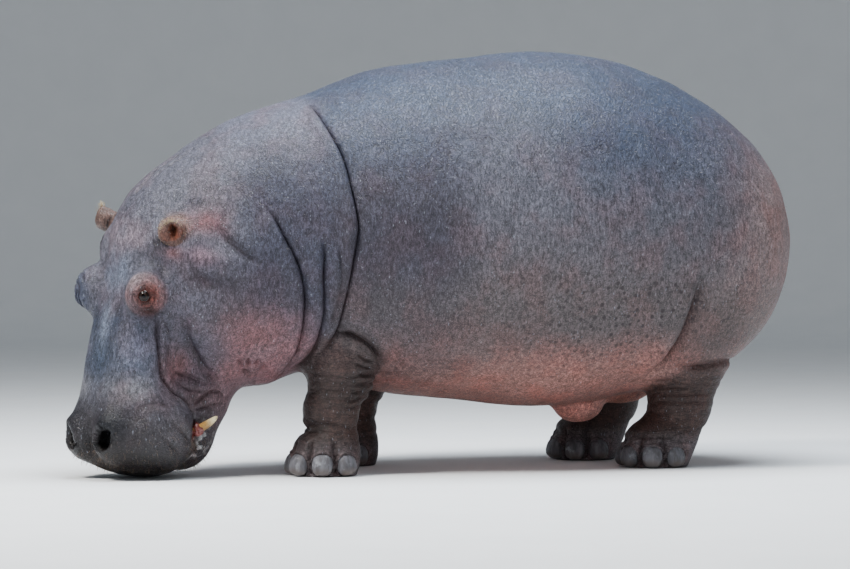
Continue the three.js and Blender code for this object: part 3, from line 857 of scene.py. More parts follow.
def paint(hide):
    """The hide's colour by zone, with painted light and shade in places, and how strong its spots and level wrinkles
    are.
    """
    p, q, n = hide.rest, hide.q, hide.n
    colour = np.tile(srgb(88, 80, 82), (len(p), 1))

    def wash(amount, *levels):
        nonlocal colour
        amount = np.clip(amount, 0, 1)[:, None]
        colour = colour * (1 - amount) + srgb(*levels) * amount

    def zone(place, size):
        return np.exp(-(((folded - place) / np.array(size, float)) ** 2).sum(1))

    folded = np.abs(q) * (1, 0, 0) + q * (0, 1, 1)
    patch = noise(p, 260, 11)
    mottle = noise(p, 70, 15)
    wash(bell(p[:, 2], 950, 230) * 0.8, 86, 87, 98)
    # painted light: the rear of the body is lighter towards the tail
    wash(ramp(p[:, 1], 380, 720), 122, 104, 103)
    wash(ramp(p[:, 1], 300, 620) * (1 - ramp(p[:, 2], 480, 700)) * 0.9, 108, 84, 76)
    wash(ramp(-p[:, 1], 380, 640), 58, 56, 67)
    wash(ramp(p[:, 2] + 90 * patch, 860, 1300) * 0.95, 47, 57, 77)  # slate back: the hide's darker grey on top, with a blue tint that is painted sky reflection
    wash(ramp(-p[:, 2], -760, -560) * 0.6, 76, 68, 68)
    behind = ramp(p[:, 1], -560, -260)
    wash(ramp(-p[:, 2] - 50 * patch, -500 + 110 * (1 - behind), -300 + 60 * (1 - behind)) * 0.95, 142, 102, 94)  # belly
    # painted bounce light from the floor: faces that look down are lighter and pinker
    wash(ramp(-n[:, 2], 0.5, 0.99) * 0.5, 150, 110, 102)
    # painted shade on the thigh behind the flank's fold
    thigh = np.exp(-(((np.abs(p) - (400, 480, 450)) / (400, 190, 130)) ** 2)[:, 1:].sum(1)) * (p[:, 1] > 290)
    wash(thigh * 0.9, 78, 67, 66)
    neck = ramp(-p[:, 1], 900, 1000)
    wash(neck * 0.92, 58, 59, 73)
    # painted sunlight: the neck's upward faces are lighter
    wash(neck * ramp(n[:, 2], 0.45, 0.9) * 0.55, 96, 98, 113)
    head = 1 - ramp(p[:, 1], -1330, -1180)
    wash(head * 0.85, 74, 74, 85)
    cheek = 0.8 * zone((320, -310, 300), (130, 130, 140)) + 0.8 * zone((190, -400, 470), (90, 90, 120))
    wash(cheek * (0.75 + 0.35 * mottle), 84, 64, 68)
    wash(0.5 * zone((320, -410, 340), (120, 100, 100)), 108, 78, 80)
    wash(0.9 * zone((272, -125, 12), (60, 70, 44)), 92, 56, 60)  # behind the ear
    wash(0.85 * zone((286, -125, 130), (60, 60, 34)), 104, 82, 94)  # cheekbone
    wash(0.85 * zone((318, -190, 212), (80, 110, 34)), 50, 44, 54)  # below it, painted shade in the hollow under the cheekbone
    wash(0.9 * zone((150, -190, 500), (60, 60, 60)), 104, 74, 76)  # corner of the mouth
    wash(0.8 * zone((165, -320, 600), (60, 110, 50)), 84, 72, 76)
    throat = ramp(-p[:, 1], 960, 1010) * (1 - ramp(p[:, 2], 380, 640)) * (1 - ramp(-p[:, 1], 1160, 1430))
    wash(throat * 0.7, 124, 93, 96)
    # from the brow to the nostrils
    # painted highlight: lighter patches on the brow and forehead
    wash(0.8 * zone((60, 10, 90), (110, 90, 60)) * (0.7 + 0.6 * noise(q, 30, 18)), 110, 108, 120)
    # painted sky reflection: a pale blue patch beside each eye's mound
    wash(0.55 * zone((33, 20, 215), (34, 40, 62)), 104, 114, 134)
    # painted shade: dark patches at the foot of each eye's mound and beside the bridge's ridge
    wash(0.85 * zone((150, -24, 372), (50, 50, 34)), 42, 40, 50)
    wash(0.9 * zone((66, 18, 380), (32, 50, 56)), 34, 40, 54)
    wash(0.85 * zone((0, 20, 510), (98, 70, 120)), 40, 51, 68)  # blue bridge: the hide's blue-grey, with a blue tint that is painted sky reflection
    # painted highlight: a pale blue streak down the middle of the bridge
    wash(0.5 * zone((0, 24, 400), (26, 50, 84)), 112, 122, 142)
    # painted sky reflection: pale blue-grey on each side of the face below the eye
    wash(0.8 * zone((134, -30, 470), (44, 60, 90)), 84, 94, 114)
    front = ramp(q[:, 2], 560, 760) * head
    # painted highlight: pale grey on the top of the muzzle
    wash(0.85 * zone((120, -30, 622), (100, 100, 46)) * (0.8 + 0.5 * mottle), 112, 112, 118)
    wash(front * 0.85, 50, 46, 48)
    # painted shade: near black over the nostrils' mounds
    wash(0.97 * zone((112, 5, 742), (80, 62, 70)), 7, 10, 19)
    wash(0.6 * zone((224, -203, 714), (30, 60, 50)), 88, 84, 88)
    wash(ramp(q[:, 2], 760, 840) * head * 0.9, 22, 19, 19)
    # eyes, ears, pits and pockets
    way = folded - EYE
    eye = np.linalg.norm(way, axis=1)
    outer = ramp((way / np.maximum(eye, 1)[:, None]) @ unit((0.92, 0.3, 0.1)), -0.15, 0.55)
    # painted shade: the far eye's mound is dark blue-grey and far less pink than the near one
    outer *= np.where(q[:, 0] > 0, 1, 0.4)
    wash((1 - ramp(eye, 62, 92)) * 0.8 * (q[:, 0] < 0), 62, 68, 86)
    wash((1 - ramp(eye, 66, 92)) * (q[:, 0] > 0) * (0.45 + 0.55 * outer) * 0.9, 118, 84, 82)
    wash((1 - ramp(eye, 36, 62)) * outer * 0.9, 84, 46, 40)
    wash(0.96 * zone((192, -20, 348), (48, 46, 32)), 36, 14, 10)
    # painted highlight: a pale patch on the near mound, in front of and above the eye
    wash(0.75 * zone(EYE + (-26, 34, -40), (34, 34, 34)) * (q[:, 0] > 0), 138, 124, 128)
    ear = np.linalg.norm(folded - (EAR_MOUTHS[1] + EAR_MOUTHS[-1]) / 2, axis=1)
    wash(0.8 * (1 - ramp(ear, 52, 86)), 92, 68, 62)
    # painted shade in the crevices between the brow and the ear
    wash(0.85 * zone((168, -34, 108), (34, 30, 34)), 46, 42, 50)
    wash(0.8 * zone((215, -62, 132), (30, 30, 20)), 104, 78, 84)
    for side in (1, -1):
        axes, length = ear_axes(side)
        v = (q - mirror(side, EAR_MOUTHS[side])) @ axes.T
        rho = np.hypot(v[:, 0], v[:, 1])
        wash((rho < EAR_RADIUS + 10) * (v[:, 2] > -0.6 * length) * (v[:, 2] < 20) * 0.9, 88, 68, 62)
        cup = (rho < EAR_RADIUS - 10) & (v[:, 2] > -length) & (v[:, 2] < 4)
        wash(cup * ramp(-v[:, 2], 0, 12) * 0.95, 92, 54, 40)
        # painted shade deep in the ear's cup
        wash(cup * ramp(-v[:, 2], 20, 40) * 0.9, 40, 26, 24)
    # painted shade: near black down each nostril's pit
    wash(ramp(-nostril_distance(q), -9, 3) * head, 14, 12, 13)
    pocket = mass_distance(mass((184, -306, 704), (26, 34, 40)), folded)
    wash((1 - ramp(pocket, -6, 6)) * head * 0.9, 140, 60, 56)
    froth = zone((160, -340, 735), (60, 50, 70)) * ramp(noise(p, 9, 13) + 0.6 * noise(p, 30, 16), 0.3, 0.6)
    wash(froth * 0.9, 176, 176, 176)
    # legs
    legs = leg_share(p)
    wash(legs * 0.95, 48, 38, 35)
    wash(legs * ramp(p[:, 2], 300, 470) * 0.8, 74, 64, 64)
    feet = legs * (1 - ramp(p[:, 2], 60, 150)) * 0.85
    wash(feet * (p[:, 1] < 0), 66, 61, 64)
    # painted light: the hind feet are lighter than the fore feet, against the shade the body casts on them
    wash(feet * (p[:, 1] > 0), 92, 88, 92)
    toes = bell(nail_distance(p), 14, 14) * (1 - ramp(p[:, 2], 60, 110))
    wash(toes * 0.6, 92, 78, 78)
    wash((1 - ramp(np.linalg.norm((p - (0, 150, 226)) / (1, 1, 0.9), axis=1), 86, 130)) * 0.85, 186, 132, 122)
    wash((1 - ramp(np.linalg.norm((p - (0, 330, 290)) / (1, 1.6, 1), axis=1), 100, 150)) * 0.8, 176, 116, 102)
    wash(0.5 * ramp(p[:, 1], 600, 800) * (1 - ramp(np.abs(p[:, 0]), 60, 200)), 98, 84, 86)
    # painted shade: darker in every groove, crease, lid rim and leg ring, by hide.shade
    colour = colour * (1 - hide.shade[:, None] * np.array([0.5, 0.58, 0.58]))
    colour *= 1 + 0.1 * noise(p, 90, 14)[:, None] + 0.07 * noise(p, 26, 17)[:, None]
    set_attribute(hide.mesh, "paint", colour)
    flank = np.exp(-(((p - (0, 120, 560)) / (1, 520, 210)) ** 2)[:, 1:].sum(1))
    spots = flank * ramp(np.abs(p[:, 0]), 180, 330) * ramp(p[:, 1], -820, -300)
    spots = np.maximum(spots, 0.6 * zone((300, -400, 360), (80, 80, 90)))
    set_attribute(hide.mesh, "spots", spots)
    set_attribute(hide.mesh, "level_wrinkles", legs)
    wet = np.maximum(front, 0.8 * (1 - ramp(eye, 30, 52)))
    set_attribute(hide.mesh, "wet", np.maximum(wet, 0.7 * ramp(n[:, 2], 0.1, 0.7) * ramp(p[:, 2], 500, 900)))
    set_attribute(hide.mesh, "pebbled", front)


# ---------------------------------------------------------------- materials
class Nodes:
    """A short way to write a node tree: each call adds a node and links what it is given."""

    def __init__(self, name):
        self.material = bpy.data.materials.new(name)
        self.material.use_nodes = True
        self.tree = self.material.node_tree
        self.shader = self.tree.nodes["Principled BSDF"]

    def add(self, kind, output=0, settings=None, **inputs):
        node = self.tree.nodes.new(kind)
        for key, value in (settings or {}).items():
            setattr(node, key, value)
        for key, value in inputs.items():
            self.put(node.inputs[int(key[1:])] if key[1:].isdigit() else node.inputs[key.replace("_", " ")], value)
        return node.outputs[output]

    def put(self, socket, value):
        if isinstance(value, bpy.types.NodeSocket):
            self.tree.links.new(value, socket)
        elif socket.type == "RGBA" and len(value) == 3:
            socket.default_value = (*value, 1)
        else:
            socket.default_value = value

    def attribute(self, name, output="Fac"):
        node = self.tree.nodes.new("ShaderNodeAttribute")
        node.attribute_name = name
        return node.outputs[output]

    def math(self, operation, a, b=0.0, clamp=False):
        return self.add("ShaderNodeMath", 0, {"operation": operation, "use_clamp": clamp}, _0=a, _1=b)

    def place(self, scale, offset=(0, 0, 0)):
        spot = self.tree.nodes.new("ShaderNodeTexCoord").outputs["Object"]
        return self.add("ShaderNodeMapping", Vector=spot, Scale=scale, Location=offset)

    def noise(self, vector, detail=3.0, roughness=0.55, scale=1.0):
        return self.add("ShaderNodeTexNoise", 0, Vector=vector, Scale=scale, Detail=detail, Roughness=roughness)

    def voronoi(self, vector, feature="F1", randomness=1.0):
        settings = {"feature": feature}
        return self.add("ShaderNodeTexVoronoi", 0, settings, Vector=vector, Scale=1.0, Randomness=randomness)

    def band(self, value, low, high, to_low=0.0, to_high=1.0):
        settings = {"interpolation_type": "SMOOTHSTEP"}
        return self.add("ShaderNodeMapRange", 0, settings, Value=value, _1=low, _2=high, _3=to_low, _4=to_high)

    def mix(self, factor, a, b, blend="MIX"):
        node = self.tree.nodes.new("ShaderNodeMix")
        node.data_type, node.blend_type = "RGBA", blend
        for socket, value in zip((node.inputs[0], node.inputs[6], node.inputs[7]), (factor, a, b)):
            self.put(socket, value)
        return node.outputs[2]

    def bump(self, height, strength, distance, normal=None):
        inputs = {"Height": height, "Strength": strength, "Distance": distance}
        if normal is not None:
            inputs["Normal"] = normal
        return self.add("ShaderNodeBump", **inputs)

    def finish(self, **inputs):
        for key, value in inputs.items():
            self.put(self.shader.inputs[key.replace("_", " ")], value)
        return self.material


def hide_material():
    m = Nodes("hide")
    colour = m.attribute("paint", "Color")
    level = m.attribute("level_wrinkles")

    def wrinkles(*scale):
        """Meandering fine lines, dark where a stretched noise crosses its middle."""
        away = m.math("ABSOLUTE", m.math("SUBTRACT", m.noise(m.place(scale), 2.0, 0.6), 0.5))
        return m.band(away, 0.0, 0.075)

    upright = m.math("MULTIPLY", wrinkles(85, 85, 30), m.math("ADD", m.math("MULTIPLY", wrinkles(45, 45, 110), 0.4), 0.6))
    flat = m.math("MULTIPLY", wrinkles(22, 22, 75), m.math("ADD", m.math("MULTIPLY", wrinkles(90, 90, 60), 0.4), 0.6))
    pebbles = m.band(m.voronoi(m.place((95, 95, 95)), "DISTANCE_TO_EDGE"), 0.0, 0.3)
    weave = m.mix(level, upright, flat)
    weave = m.mix(m.math("MULTIPLY", m.attribute("pebbled"), 0.7), weave, pebbles)
    fine = m.noise(m.place((230, 230, 190)), 2.0, 0.6)
    grain = m.noise(m.place((70, 70, 45)), 4.0, 0.65)
    cloud = m.noise(m.place((8, 8, 7)), 3.0, 0.55)
    colour = m.mix(0.9, colour, m.band(weave, 0.0, 1.0, 0.58, 1.12), "MULTIPLY")
    colour = m.mix(0.9, colour, m.band(grain, 0.3, 0.7, 0.62, 1.38), "MULTIPLY")
    colour = m.mix(0.9, colour, m.band(fine, 0.3, 0.7, 0.66, 1.34), "MULTIPLY")
    rosy = m.mix(1.0, colour, (1.14, 0.95, 0.92), "MULTIPLY")
    colour = m.mix(m.band(cloud, 0.42, 0.66), colour, rosy)
    # dark pores on the flank
    cell = m.voronoi(m.place((38, 38, 34)), "F1", 0.75)
    pores = m.math("MULTIPLY", m.band(cell, 0.2, 0.34, 1.0, 0.0), m.attribute("spots"))
    colour = m.mix(m.math("MULTIPLY", pores, 0.9), colour, tuple(srgb(40, 32, 34)))
    # pale scuffs
    scuff = m.band(m.noise(m.place((110, 150, 60)), 2.0, 0.5), 0.66, 0.76)
    colour = m.mix(m.math("MULTIPLY", scuff, 0.42), colour, tuple(srgb(150, 156, 170)))
    soft = m.bump(m.noise(m.place((26, 26, 18)), 4.0, 0.6), 0.4, 0.012)
    cut = m.bump(weave, 0.6, 0.0028, soft)
    cut = m.bump(fine, 0.5, 0.0022, cut)
    gloss = m.band(grain, 0.3, 0.7, 0.42, 0.6)
    gloss = m.math("SUBTRACT", gloss, m.math("MULTIPLY", m.attribute("wet"), 0.14))
    return m.finish(Base_Color=colour, Roughness=gloss, Normal=cut, Specular_IOR_Level=0.27)


def eye_material():
    m = Nodes("eyeball")
    angle = m.attribute("axis_angle")
    streaks = m.noise(m.place((600, 600, 600)), 3.0, 0.6)
    iris = m.mix(streaks, tuple(srgb(20, 12, 9)), tuple(srgb(42, 26, 18)))
    colour = m.mix(m.band(angle, 26, 30), iris, tuple(srgb(16, 10, 9)))
    colour = m.mix(m.band(angle, 40, 52), colour, tuple(srgb(60, 36, 32)))
    colour = m.mix(m.band(angle, 16, 19), tuple(srgb(4, 3, 4)), colour)
    veins = m.bump(m.noise(m.place((300, 300, 300)), 2.0), 0.05, 0.0005)
    return m.finish(Base_Color=colour, Roughness=m.band(streaks, 0.0, 1.0, 0.06, 0.12), Normal=veins,
                    Specular_IOR_Level=0.2)


def nail_material():
    m = Nodes("nail")
    grain = m.noise(m.place((60, 60, 14)), 4.0, 0.6)
    blotch = m.noise(m.place((30, 30, 30)), 3.0, 0.6)
    colour = m.mix(m.band(grain, 0.3, 0.7), tuple(srgb(66, 63, 66)), tuple(srgb(104, 104, 110)))
    colour = m.mix(m.band(blotch, 0.54, 0.7, 0.0, 0.7), colour, tuple(srgb(138, 140, 146)))
    rise = m.attribute("nail_rise")
    colour = m.mix(m.band(rise, -0.9, -0.3, 0.6, 0.0), colour, tuple(srgb(92, 80, 72)))
    lines = m.bump(m.noise(m.place((40, 40, 160)), 3.0, 0.6), 0.4, 0.002)
    return m.finish(Base_Color=colour, Roughness=m.band(grain, 0.3, 0.7, 0.46, 0.64), Normal=lines,
                    Specular_IOR_Level=0.35)


def ivory_material():
    m = Nodes("ivory")
    along = m.attribute("tusk_along")
    grain = m.noise(m.place((90, 90, 90)), 4.0, 0.65)
    colour = m.mix(m.band(along, 0.25, 0.8), tuple(srgb(150, 112, 52)), tuple(srgb(226, 212, 170)))
    colour = m.mix(m.band(grain, 0.45, 0.65, 0.0, 0.5), colour, tuple(srgb(120, 84, 40)))
    lines = m.bump(grain, 0.3, 0.0012)
    return m.finish(Base_Color=colour, Roughness=m.band(grain, 0.3, 0.7, 0.22, 0.4), Normal=lines)


def gum_material():
    m = Nodes("gum")
    grain = m.noise(m.place((70, 70, 70)), 3.0, 0.6)
    colour = m.mix(m.band(grain, 0.35, 0.65), tuple(srgb(84, 40, 38)), tuple(srgb(122, 64, 60)))
    return m.finish(Base_Color=colour, Roughness=m.band(grain, 0.3, 0.7, 0.2, 0.34), Normal=m.bump(grain, 0.3, 0.002))


def hair_material(name, root, tip):
    m = Nodes(name)
    along = m.attribute("hair_along")
    tone = m.noise(m.place((25, 25, 25)), 2.0)
    colour = m.mix(along, tuple(srgb(*root)), tuple(srgb(*tip)))
    colour = m.mix(0.5, colour, m.band(tone, 0.3, 0.7, 0.75, 1.2), "MULTIPLY")
    return m.finish(Base_Color=colour, Roughness=0.5)


# ---------------------------------------------------------------- pieces
def dress(obj, material, slot, *nodes):
    """Gives a piece its material, puts it on the body, and lets it stand for its nodes; slot is not used."""
    obj.data.materials.clear()
    obj.data.materials.append(material)
    if nodes:
        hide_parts(*nodes)
    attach(obj, "root")
    return obj


def grid_faces(rows, columns):
    """Quads of a closed tube of points, row by row."""
    i, j = np.meshgrid(np.arange(rows - 1), np.arange(columns), indexing="ij")
    k = (j + 1) % columns
    return np.stack([i * columns + j, i * columns + k, (i + 1) * columns + k, (i + 1) * columns + j], -1).reshape(-1, 4)


def close_ends(obj):
    """Fills both open ends of a tube with a point each."""
    bm = bmesh.new()
    bm.from_mesh(obj.data)
    rims = [e for e in bm.edges if e.is_boundary]
    bmesh.ops.holes_fill(bm, edges=rims, sides=0)
    bmesh.ops.poke(bm, faces=[f for f in bm.faces if len(f.verts) > 4])
    bmesh.ops.recalc_face_normals(bm, faces=bm.faces)
    bm.to_mesh(obj.data)
    bm.free()
    obj.data.polygons.foreach_set("use_smooth", np.ones(len(obj.data.polygons), bool))
    return obj


def sphere_angles(rows, columns):
    """Angles from the pole, and round it, of the rings of a ball without its very poles."""
    polar = np.linspace(0.02, math.pi - 0.02, rows)
    turn = np.arange(columns) / columns * 2 * math.pi
    return [a.ravel() for a in np.meshgrid(polar, turn, indexing="ij")]


def make_eye(side, material):
    rows, columns = 64, 64
    polar, turn = sphere_angles(rows, columns)
    axis = mirror(side, EYE_AXIS)
    across = unit(np.cross(axis, (0, 0, 1)))
    other = np.cross(axis, across)
    cornea = 1.6 * (1 - ramp(np.degrees(polar), 16, 36))
    radius = EYE_RADIUS - 1.4 + cornea
    ball = np.cos(polar)[:, None] * axis
    ball = ball + np.sin(polar)[:, None] * (np.cos(turn)[:, None] * across + np.sin(turn)[:, None] * other)
    points = from_head(mirror(side, EYE) + radius[:, None] * ball)
    name = "eye_left" if side > 0 else "eye_right"
    obj = build_mesh(name + "_ball", points, grid_faces(rows, columns))
    set_attribute(obj.data, "axis_angle", np.degrees(polar))
    return dress(close_ends(obj), material, "eyeball", name)


def make_nail(leg, angle, node, material):
    """A broad domed nail with growth lines, its lower edge worn flat on the floor."""
    rows, columns = 40, 48
    polar, turn = sphere_angles(rows, columns)
    rise, out, across = -np.cos(polar), np.sin(polar) * np.sin(turn), np.sin(polar) * np.cos(turn)
    square = np.abs(across) ** 2.6 + np.abs(out) ** 2.6 + np.abs(rise) ** 2.4
    ball = np.stack([across, rise, out], 1) / (square ** (1 / 2.5))[:, None]
    lines = 0.006 * np.sin(rise * 26 + 0.6 * np.sin(3 * turn)) * ramp(out, 0, 0.4)
    local = ball * (1 + lines[:, None]) * NAIL_HALF * (0.97, 0.98, 0.98)
    t = math.radians(NAIL_LEAN)
    up, face = np.array((0, math.cos(t), math.sin(t))), np.array((0, -math.sin(t), math.cos(t)))
    v = local[:, :1] * (1, 0, 0) + local[:, 1:2] * up + local[:, 2:] * face + (0, -NAIL_RING, NAIL_HALF[1] + 3)
    t = math.radians(leg.turn + angle)
    x = v[:, 0] * math.cos(t) - v[:, 1] * math.sin(t) + leg.foot[0]
    y = v[:, 0] * math.sin(t) + v[:, 1] * math.cos(t) + leg.foot[1]
    points = np.stack([x, y, np.maximum(v[:, 2], 1 + 0.02 * v[:, 2])], 1)
    obj = build_mesh(node + "_horn", points, grid_faces(rows, columns))
    set_attribute(obj.data, "nail_rise", ball[:, 1])
    return dress(close_ends(obj), material, "nail", node)


TUSK_BASE, TUSK_TIP, TUSK_RADIUS = np.array([192.0, -308, 690]), np.array([212.0, -354, 638]), 16


def make_tusk(side, material, gum):
    rows, columns = 24, 20
    base, tip = mirror(side, TUSK_BASE), mirror(side, TUSK_TIP)
    along = unit(tip - base)
    bend = unit(np.cross(along, mirror(side, (1, 0, 0.4))))
    across = np.cross(along, bend)
    t, turn = [a.ravel() for a in np.meshgrid(np.linspace(-0.35, 1, rows), np.arange(columns) / columns * 2 * math.pi,
                                              indexing="ij")]
    radius = TUSK_RADIUS * 0.92 * np.sqrt(np.clip(1.02 - np.maximum(t, 0) ** 2.6, 0.01, 1)) * (1 - 0.12 * np.clip(t, 0, 1))
    centre = base + (t * np.linalg.norm(tip - base))[:, None] * along + (5 * np.sin(t * 2.4))[:, None] * bend
    ring = np.cos(turn)[:, None] * across * 0.85 + np.sin(turn)[:, None] * bend
    points = from_head(centre + radius[:, None] * ring)
    name = "tusk_left" if side > 0 else "tusk_right"
    obj = build_mesh(name + "_ivory", points, grid_faces(rows, columns))
    set_attribute(obj.data, "tusk_along", t)
    dress(close_ends(obj), material, "ivory", name)
    polar, turn = sphere_angles(32, 40)
    ball = np.stack([np.cos(polar), np.sin(polar) * np.cos(turn), np.sin(polar) * np.sin(turn)], 1)
    swell = 1 + 0.09 * np.sin(3 * turn + 5 * polar) + 0.07 * np.sin(7 * polar)
    v = ball * swell[:, None] * (24, 25, 23)
    blob = base - 10 * along + v[:, :1] * along + v[:, 1:2] * across + v[:, 2:] * bend - mirror(side, (8, 0, 0))
    obj = build_mesh("gum_left" if side > 0 else "gum_right", from_head(blob), grid_faces(32, 40))
    dress(close_ends(obj), gum, "pink_hide")


def hairs(name, material, roots, ways, lengths, radius, droop, unwrap, seed):
    """Tapered three-sided hairs. Each is a small patch of the piece's map at its root's place."""
    rng = np.random.default_rng(seed)
    count, steps = len(roots), 5
    ways = unit(ways)
    side = unit(np.cross(ways, rng.normal(size=(count, 3))))
    other = np.cross(ways, side)
    bend = side * rng.uniform(-0.35, 0.35, (count, 1)) + np.array(droop)
    t = np.linspace(0, 1, steps)
    spine = roots[:, None] + lengths[:, None, None] * (t[:, None] * ways[:, None] + (t**2)[:, None] * 0.5 * bend[:, None])
    width = radius * (1 - 0.85 * t)
    turn = np.arange(3) / 3 * 2 * math.pi
    ring = np.cos(turn)[:, None] * side[:, None] + np.sin(turn)[:, None] * other[:, None]
    points = (spine[:, :, None] + width[:, None, None] * ring[:, None]).reshape(-1, 3)
    one = grid_faces(steps, 3)
    faces = (np.arange(count)[:, None, None] * steps * 3 + one).reshape(-1, 4)
    obj = build_mesh(name, points, faces)
    set_attribute(obj.data, "hair_along", np.tile(np.repeat(t, 3), count))
    patch = np.array([(c / 2, r / (steps - 1)) for r in range(steps) for c in range(3)]) * 0.003
    uv = (unwrap[:, None] * 0.99 + patch).reshape(-1, 2)
    layer = obj.data.uv_layers.new(name="OFBake")
    corner = np.empty(len(obj.data.loops), np.int32)
    obj.data.loops.foreach_get("vertex_index", corner)
    layer.data.foreach_set("uv", uv[corner].astype(np.float32).ravel())
    return dress(obj, material, "hide")


def round_unwrap(x, y, z, span):
    """A place on a round unwrap: the turn about an axis, and how far along it."""
    return np.stack([np.arctan2(x, y) / (2 * math.pi) + 0.5, np.clip((z - span[0]) / (span[1] - span[0]), 0, 1)], 1)


def ear_fringe(side, material):
    rng = np.random.default_rng(40 + side)
    count = 340
    axes, length = ear_axes(side)
    turn = rng.uniform(0, 2 * math.pi, count)
    upper = 0.5 + 0.5 * np.cos(turn - 0.9)
    keep = rng.uniform(size=count) < 0.12 + 0.88 * upper**1.5
    turn, upper = turn[keep], upper[keep]
    rho = EAR_RADIUS * 0.9 - rng.uniform(0, 8, len(turn))
    back = -rng.uniform(0, 16, len(turn)) * (rng.uniform(size=len(turn)) < 0.5)
    rim = np.stack([np.cos(turn) * rho * 0.9, np.sin(turn) * rho * 1.08, 7 * np.cos(turn - 0.9) - 5 + back], 1)
    q = rim @ axes + mirror(side, EAR_MOUTHS[side])
    roots = settle(from_head(q))
    radial = np.stack([np.cos(turn), np.sin(turn), 0.5 + 0 * turn], 1) @ axes
    ways = radial @ HEAD_AXES + rng.normal(size=(len(turn), 3)) * 0.28 + (0, 0, 0.25)
    lengths = rng.uniform(10, 27, len(turn)) * (0.6 + 0.6 * upper)
    unwrap = round_unwrap(rim[:, 0], rim[:, 1], rim[:, 2], (-30, 10))
    name = "ear_fringe_left" if side > 0 else "ear_fringe_right"
    return hairs(name, material, roots - 1.5 * unit(ways), ways, lengths, 0.55, (0, 0, -0.2), unwrap, 50 + side)


def pick(hide, weight, count, seed):
    """Random points of the hide, each as likely as its weight."""
    rng = np.random.default_rng(seed)
    weight = np.clip(weight, 0, None)
    return rng.choice(len(weight), count, replace=False, p=weight / weight.sum()), rng


def coat(hide):
    cream = hair_material("cream_hair", (120, 98, 76), (212, 194, 156))
    pale = hair_material("pale_hair", (120, 112, 112), (190, 186, 186))
    dark = hair_material("dark_bristle", (66, 52, 46), (150, 122, 100))
    for side in (1, -1):
        ear_fringe(side, cream)
    q, p, n = hide.q, hide.rest, hide.n
    muzzle = ramp(q[:, 2], 650, 800) * (p[:, 1] < -1200) * (nostril_distance(q) > 6) * (1 - ramp(q[:, 1], -40, 20))
    muzzle = muzzle * (0.3 + (p[:, 2] < 190)) * (p[:, 2] > 28)
    chosen, rng = pick(hide, muzzle, 900, 61)
    ways = n[chosen] + rng.normal(size=(len(chosen), 3)) * 0.25 + (0, 0, -0.35)
    unwrap = round_unwrap(q[chosen, 0], q[chosen, 1], q[chosen, 2], (600, 900))
    hairs("muzzle_bristles", dark, hide.p[chosen] - n[chosen], ways, rng.uniform(7, 20, len(chosen)), 0.55,
          (0, 0, -0.3), unwrap, 62)
    back = ramp(n[:, 2], 0.0, 0.8) * ramp(p[:, 2], 700, 1100) + 0.12 * (p[:, 2] > 500)
    chosen, rng = pick(hide, back * (p[:, 1] > -1560), 4200, 63)
    ways = np.array((0, 0.85, -0.35)) + n[chosen] * 0.55 + rng.normal(size=(len(chosen), 3)) * 0.35
    unwrap = round_unwrap(p[chosen, 0], p[chosen, 2] - BARREL_MID, p[chosen, 1], (-1600, 950))
    hairs("back_hairs", pale, hide.p[chosen] - n[chosen], ways, rng.uniform(8, 17, len(chosen)), 0.35, (0, 0, -0.2),
          unwrap, 64)
    tail = (1 - ramp(p[:, 2], 690, 790)) * (np.abs(p[:, 0]) < 60) * (p[:, 1] > 870) * (p[:, 2] > 600)
    chosen, rng = pick(hide, tail, min(220, int((tail > 0).sum() * 0.8)), 65)
    ways = n[chosen] * 0.6 + (0, 0, -1) + rng.normal(size=(len(chosen), 3)) * 0.2
    unwrap = round_unwrap(p[chosen, 0], p[chosen, 1] - 905, p[chosen, 2], (600, 800))
    hairs("tail_bristles", dark, hide.p[chosen] - n[chosen], ways, rng.uniform(20, 46, len(chosen)), 0.8, (0, 0, -0.4),
          unwrap, 66)


# ---------------------------------------------------------------- set, light and camera
def make_set():
    """A pale floor that curves up into a backdrop, all round the animal."""
    flat, bend, top = 17, 4, 14
    curve = [(flat + bend * math.sin(a), bend - bend * math.cos(a)) for a in np.linspace(0, math.pi / 2, 16)]
    profile = [(0, 0)] + curve + [(flat + bend, top)]
    columns = 96
    turn = np.arange(columns) / columns * 2 * math.pi
    rings = [(r * math.cos(a), r * math.sin(a), z) for r, z in profile for a in turn]
    mesh = bpy.data.meshes.new("studio_floor")
    mesh.from_pydata(rings, [], grid_faces(len(profile), columns).tolist())
    floor = bpy.data.objects.new("studio_floor", mesh)
    bpy.context.scene.collection.objects.link(floor)
    mesh.polygons.foreach_set("use_smooth", np.ones(len(mesh.polygons), bool))
    m = Nodes("studio_floor")
    grain = m.noise(m.place((3, 3, 3)), 3.0)
    colour = m.mix(grain, tuple(srgb(234, 237, 240)), tuple(srgb(243, 245, 247)))
    mesh.materials.append(m.finish(Base_Color=colour, Roughness=0.85))


def add_light(name, place, aim, size, power, colour=(1, 1, 1)):
    lamp = bpy.data.lights.new(name, "AREA")
    lamp.shape, lamp.size, lamp.energy, lamp.color = "DISK", size, power, colour
    obj = bpy.data.objects.new(name, lamp)
    obj.location = place
    obj.rotation_euler = (Vector(aim) - Vector(place)).to_track_quat("-Z", "Y").to_euler()
    bpy.context.scene.collection.objects.link(obj)


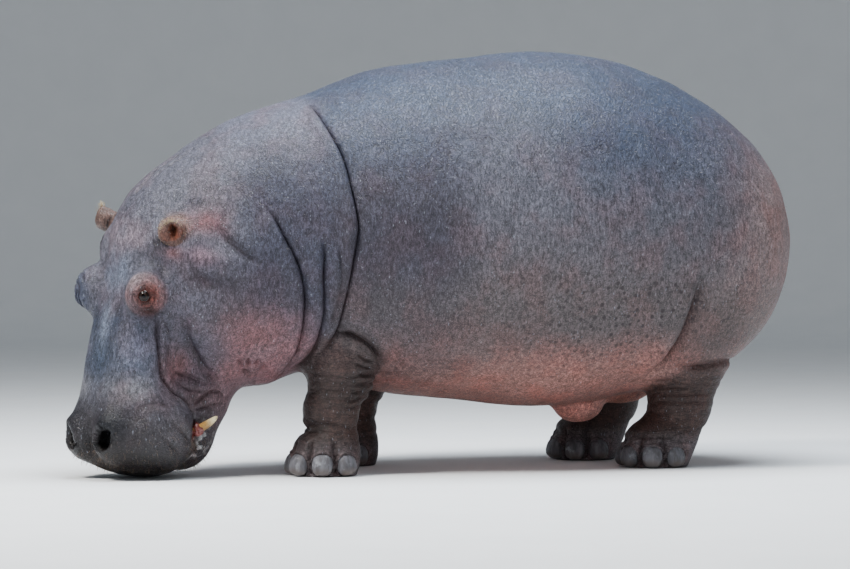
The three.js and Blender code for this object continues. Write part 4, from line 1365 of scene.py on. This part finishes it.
def make_lights():
    world = bpy.data.worlds.new("studio")
    world.use_nodes = True
    background = world.node_tree.nodes["Background"]
    background.inputs["Color"].default_value = (0.88, 0.94, 1.0, 1)
    background.inputs["Strength"].default_value = 0.26
    bpy.context.scene.world = world
    add_light("sky", (0.4, 0.3, 5.4), (0, 0, 0.6), 4.2, 680, (0.88, 0.94, 1.0))
    add_light("key", (1.4, -4.4, 5.2), (0.1, -0.6, 0.7), 1.4, 520, (1.0, 0.97, 0.92))
    add_light("fill", (5.5, -0.5, 2.2), (0, 0, 0.6), 3.0, 30, (1.0, 0.98, 0.96))


CAMERA = SimpleNamespace(azimuth=68, elevation=0.5, distance=12.0, focal=3300, target=(-157, -388, 656))
IMAGE_WIDTH = 850
SENSOR = 36


def make_camera():
    a, e = math.radians(CAMERA.azimuth), math.radians(CAMERA.elevation)
    back = Vector((math.sin(a) * math.cos(e), -math.cos(a) * math.cos(e), math.sin(e)))
    target = Vector(to_frame(CAMERA.target))
    data = bpy.data.cameras.new("camera")
    data.sensor_width = SENSOR
    data.lens = CAMERA.focal / IMAGE_WIDTH * SENSOR
    data.clip_end = 100
    camera = bpy.data.objects.new("camera", data)
    camera.location = target + back * CAMERA.distance
    camera.rotation_euler = (-back).to_track_quat("-Z", "Y").to_euler()
    bpy.context.scene.collection.objects.link(camera)
    bpy.context.scene.camera = camera


# ---------------------------------------------------------------- the whole animal
FLESH = ["trunk", "neck", "head", "lower_jaw", "tail", "groin_bulge"]
FLESH += [f"{part}_{side}" for part in ("ear", "foreleg", "forefoot", "hindleg", "hindfoot") for side in ("left", "right")]

hide_object, hide = make_hide()
paint(hide)
dress(hide_object, hide_material(), "hide", *FLESH)
coat(hide)
eyeball, horn, ivory, gum = eye_material(), nail_material(), ivory_material(), gum_material()
for side in (1, -1):
    make_eye(side, eyeball)
    make_tusk(side, ivory, gum)
for leg in LEGS:
    for number, angle in enumerate(TOE_ANGLES, 1):
        make_nail(leg, angle, f"{leg.name}_nail_{number}", horn)
make_set()
make_lights()
make_camera()
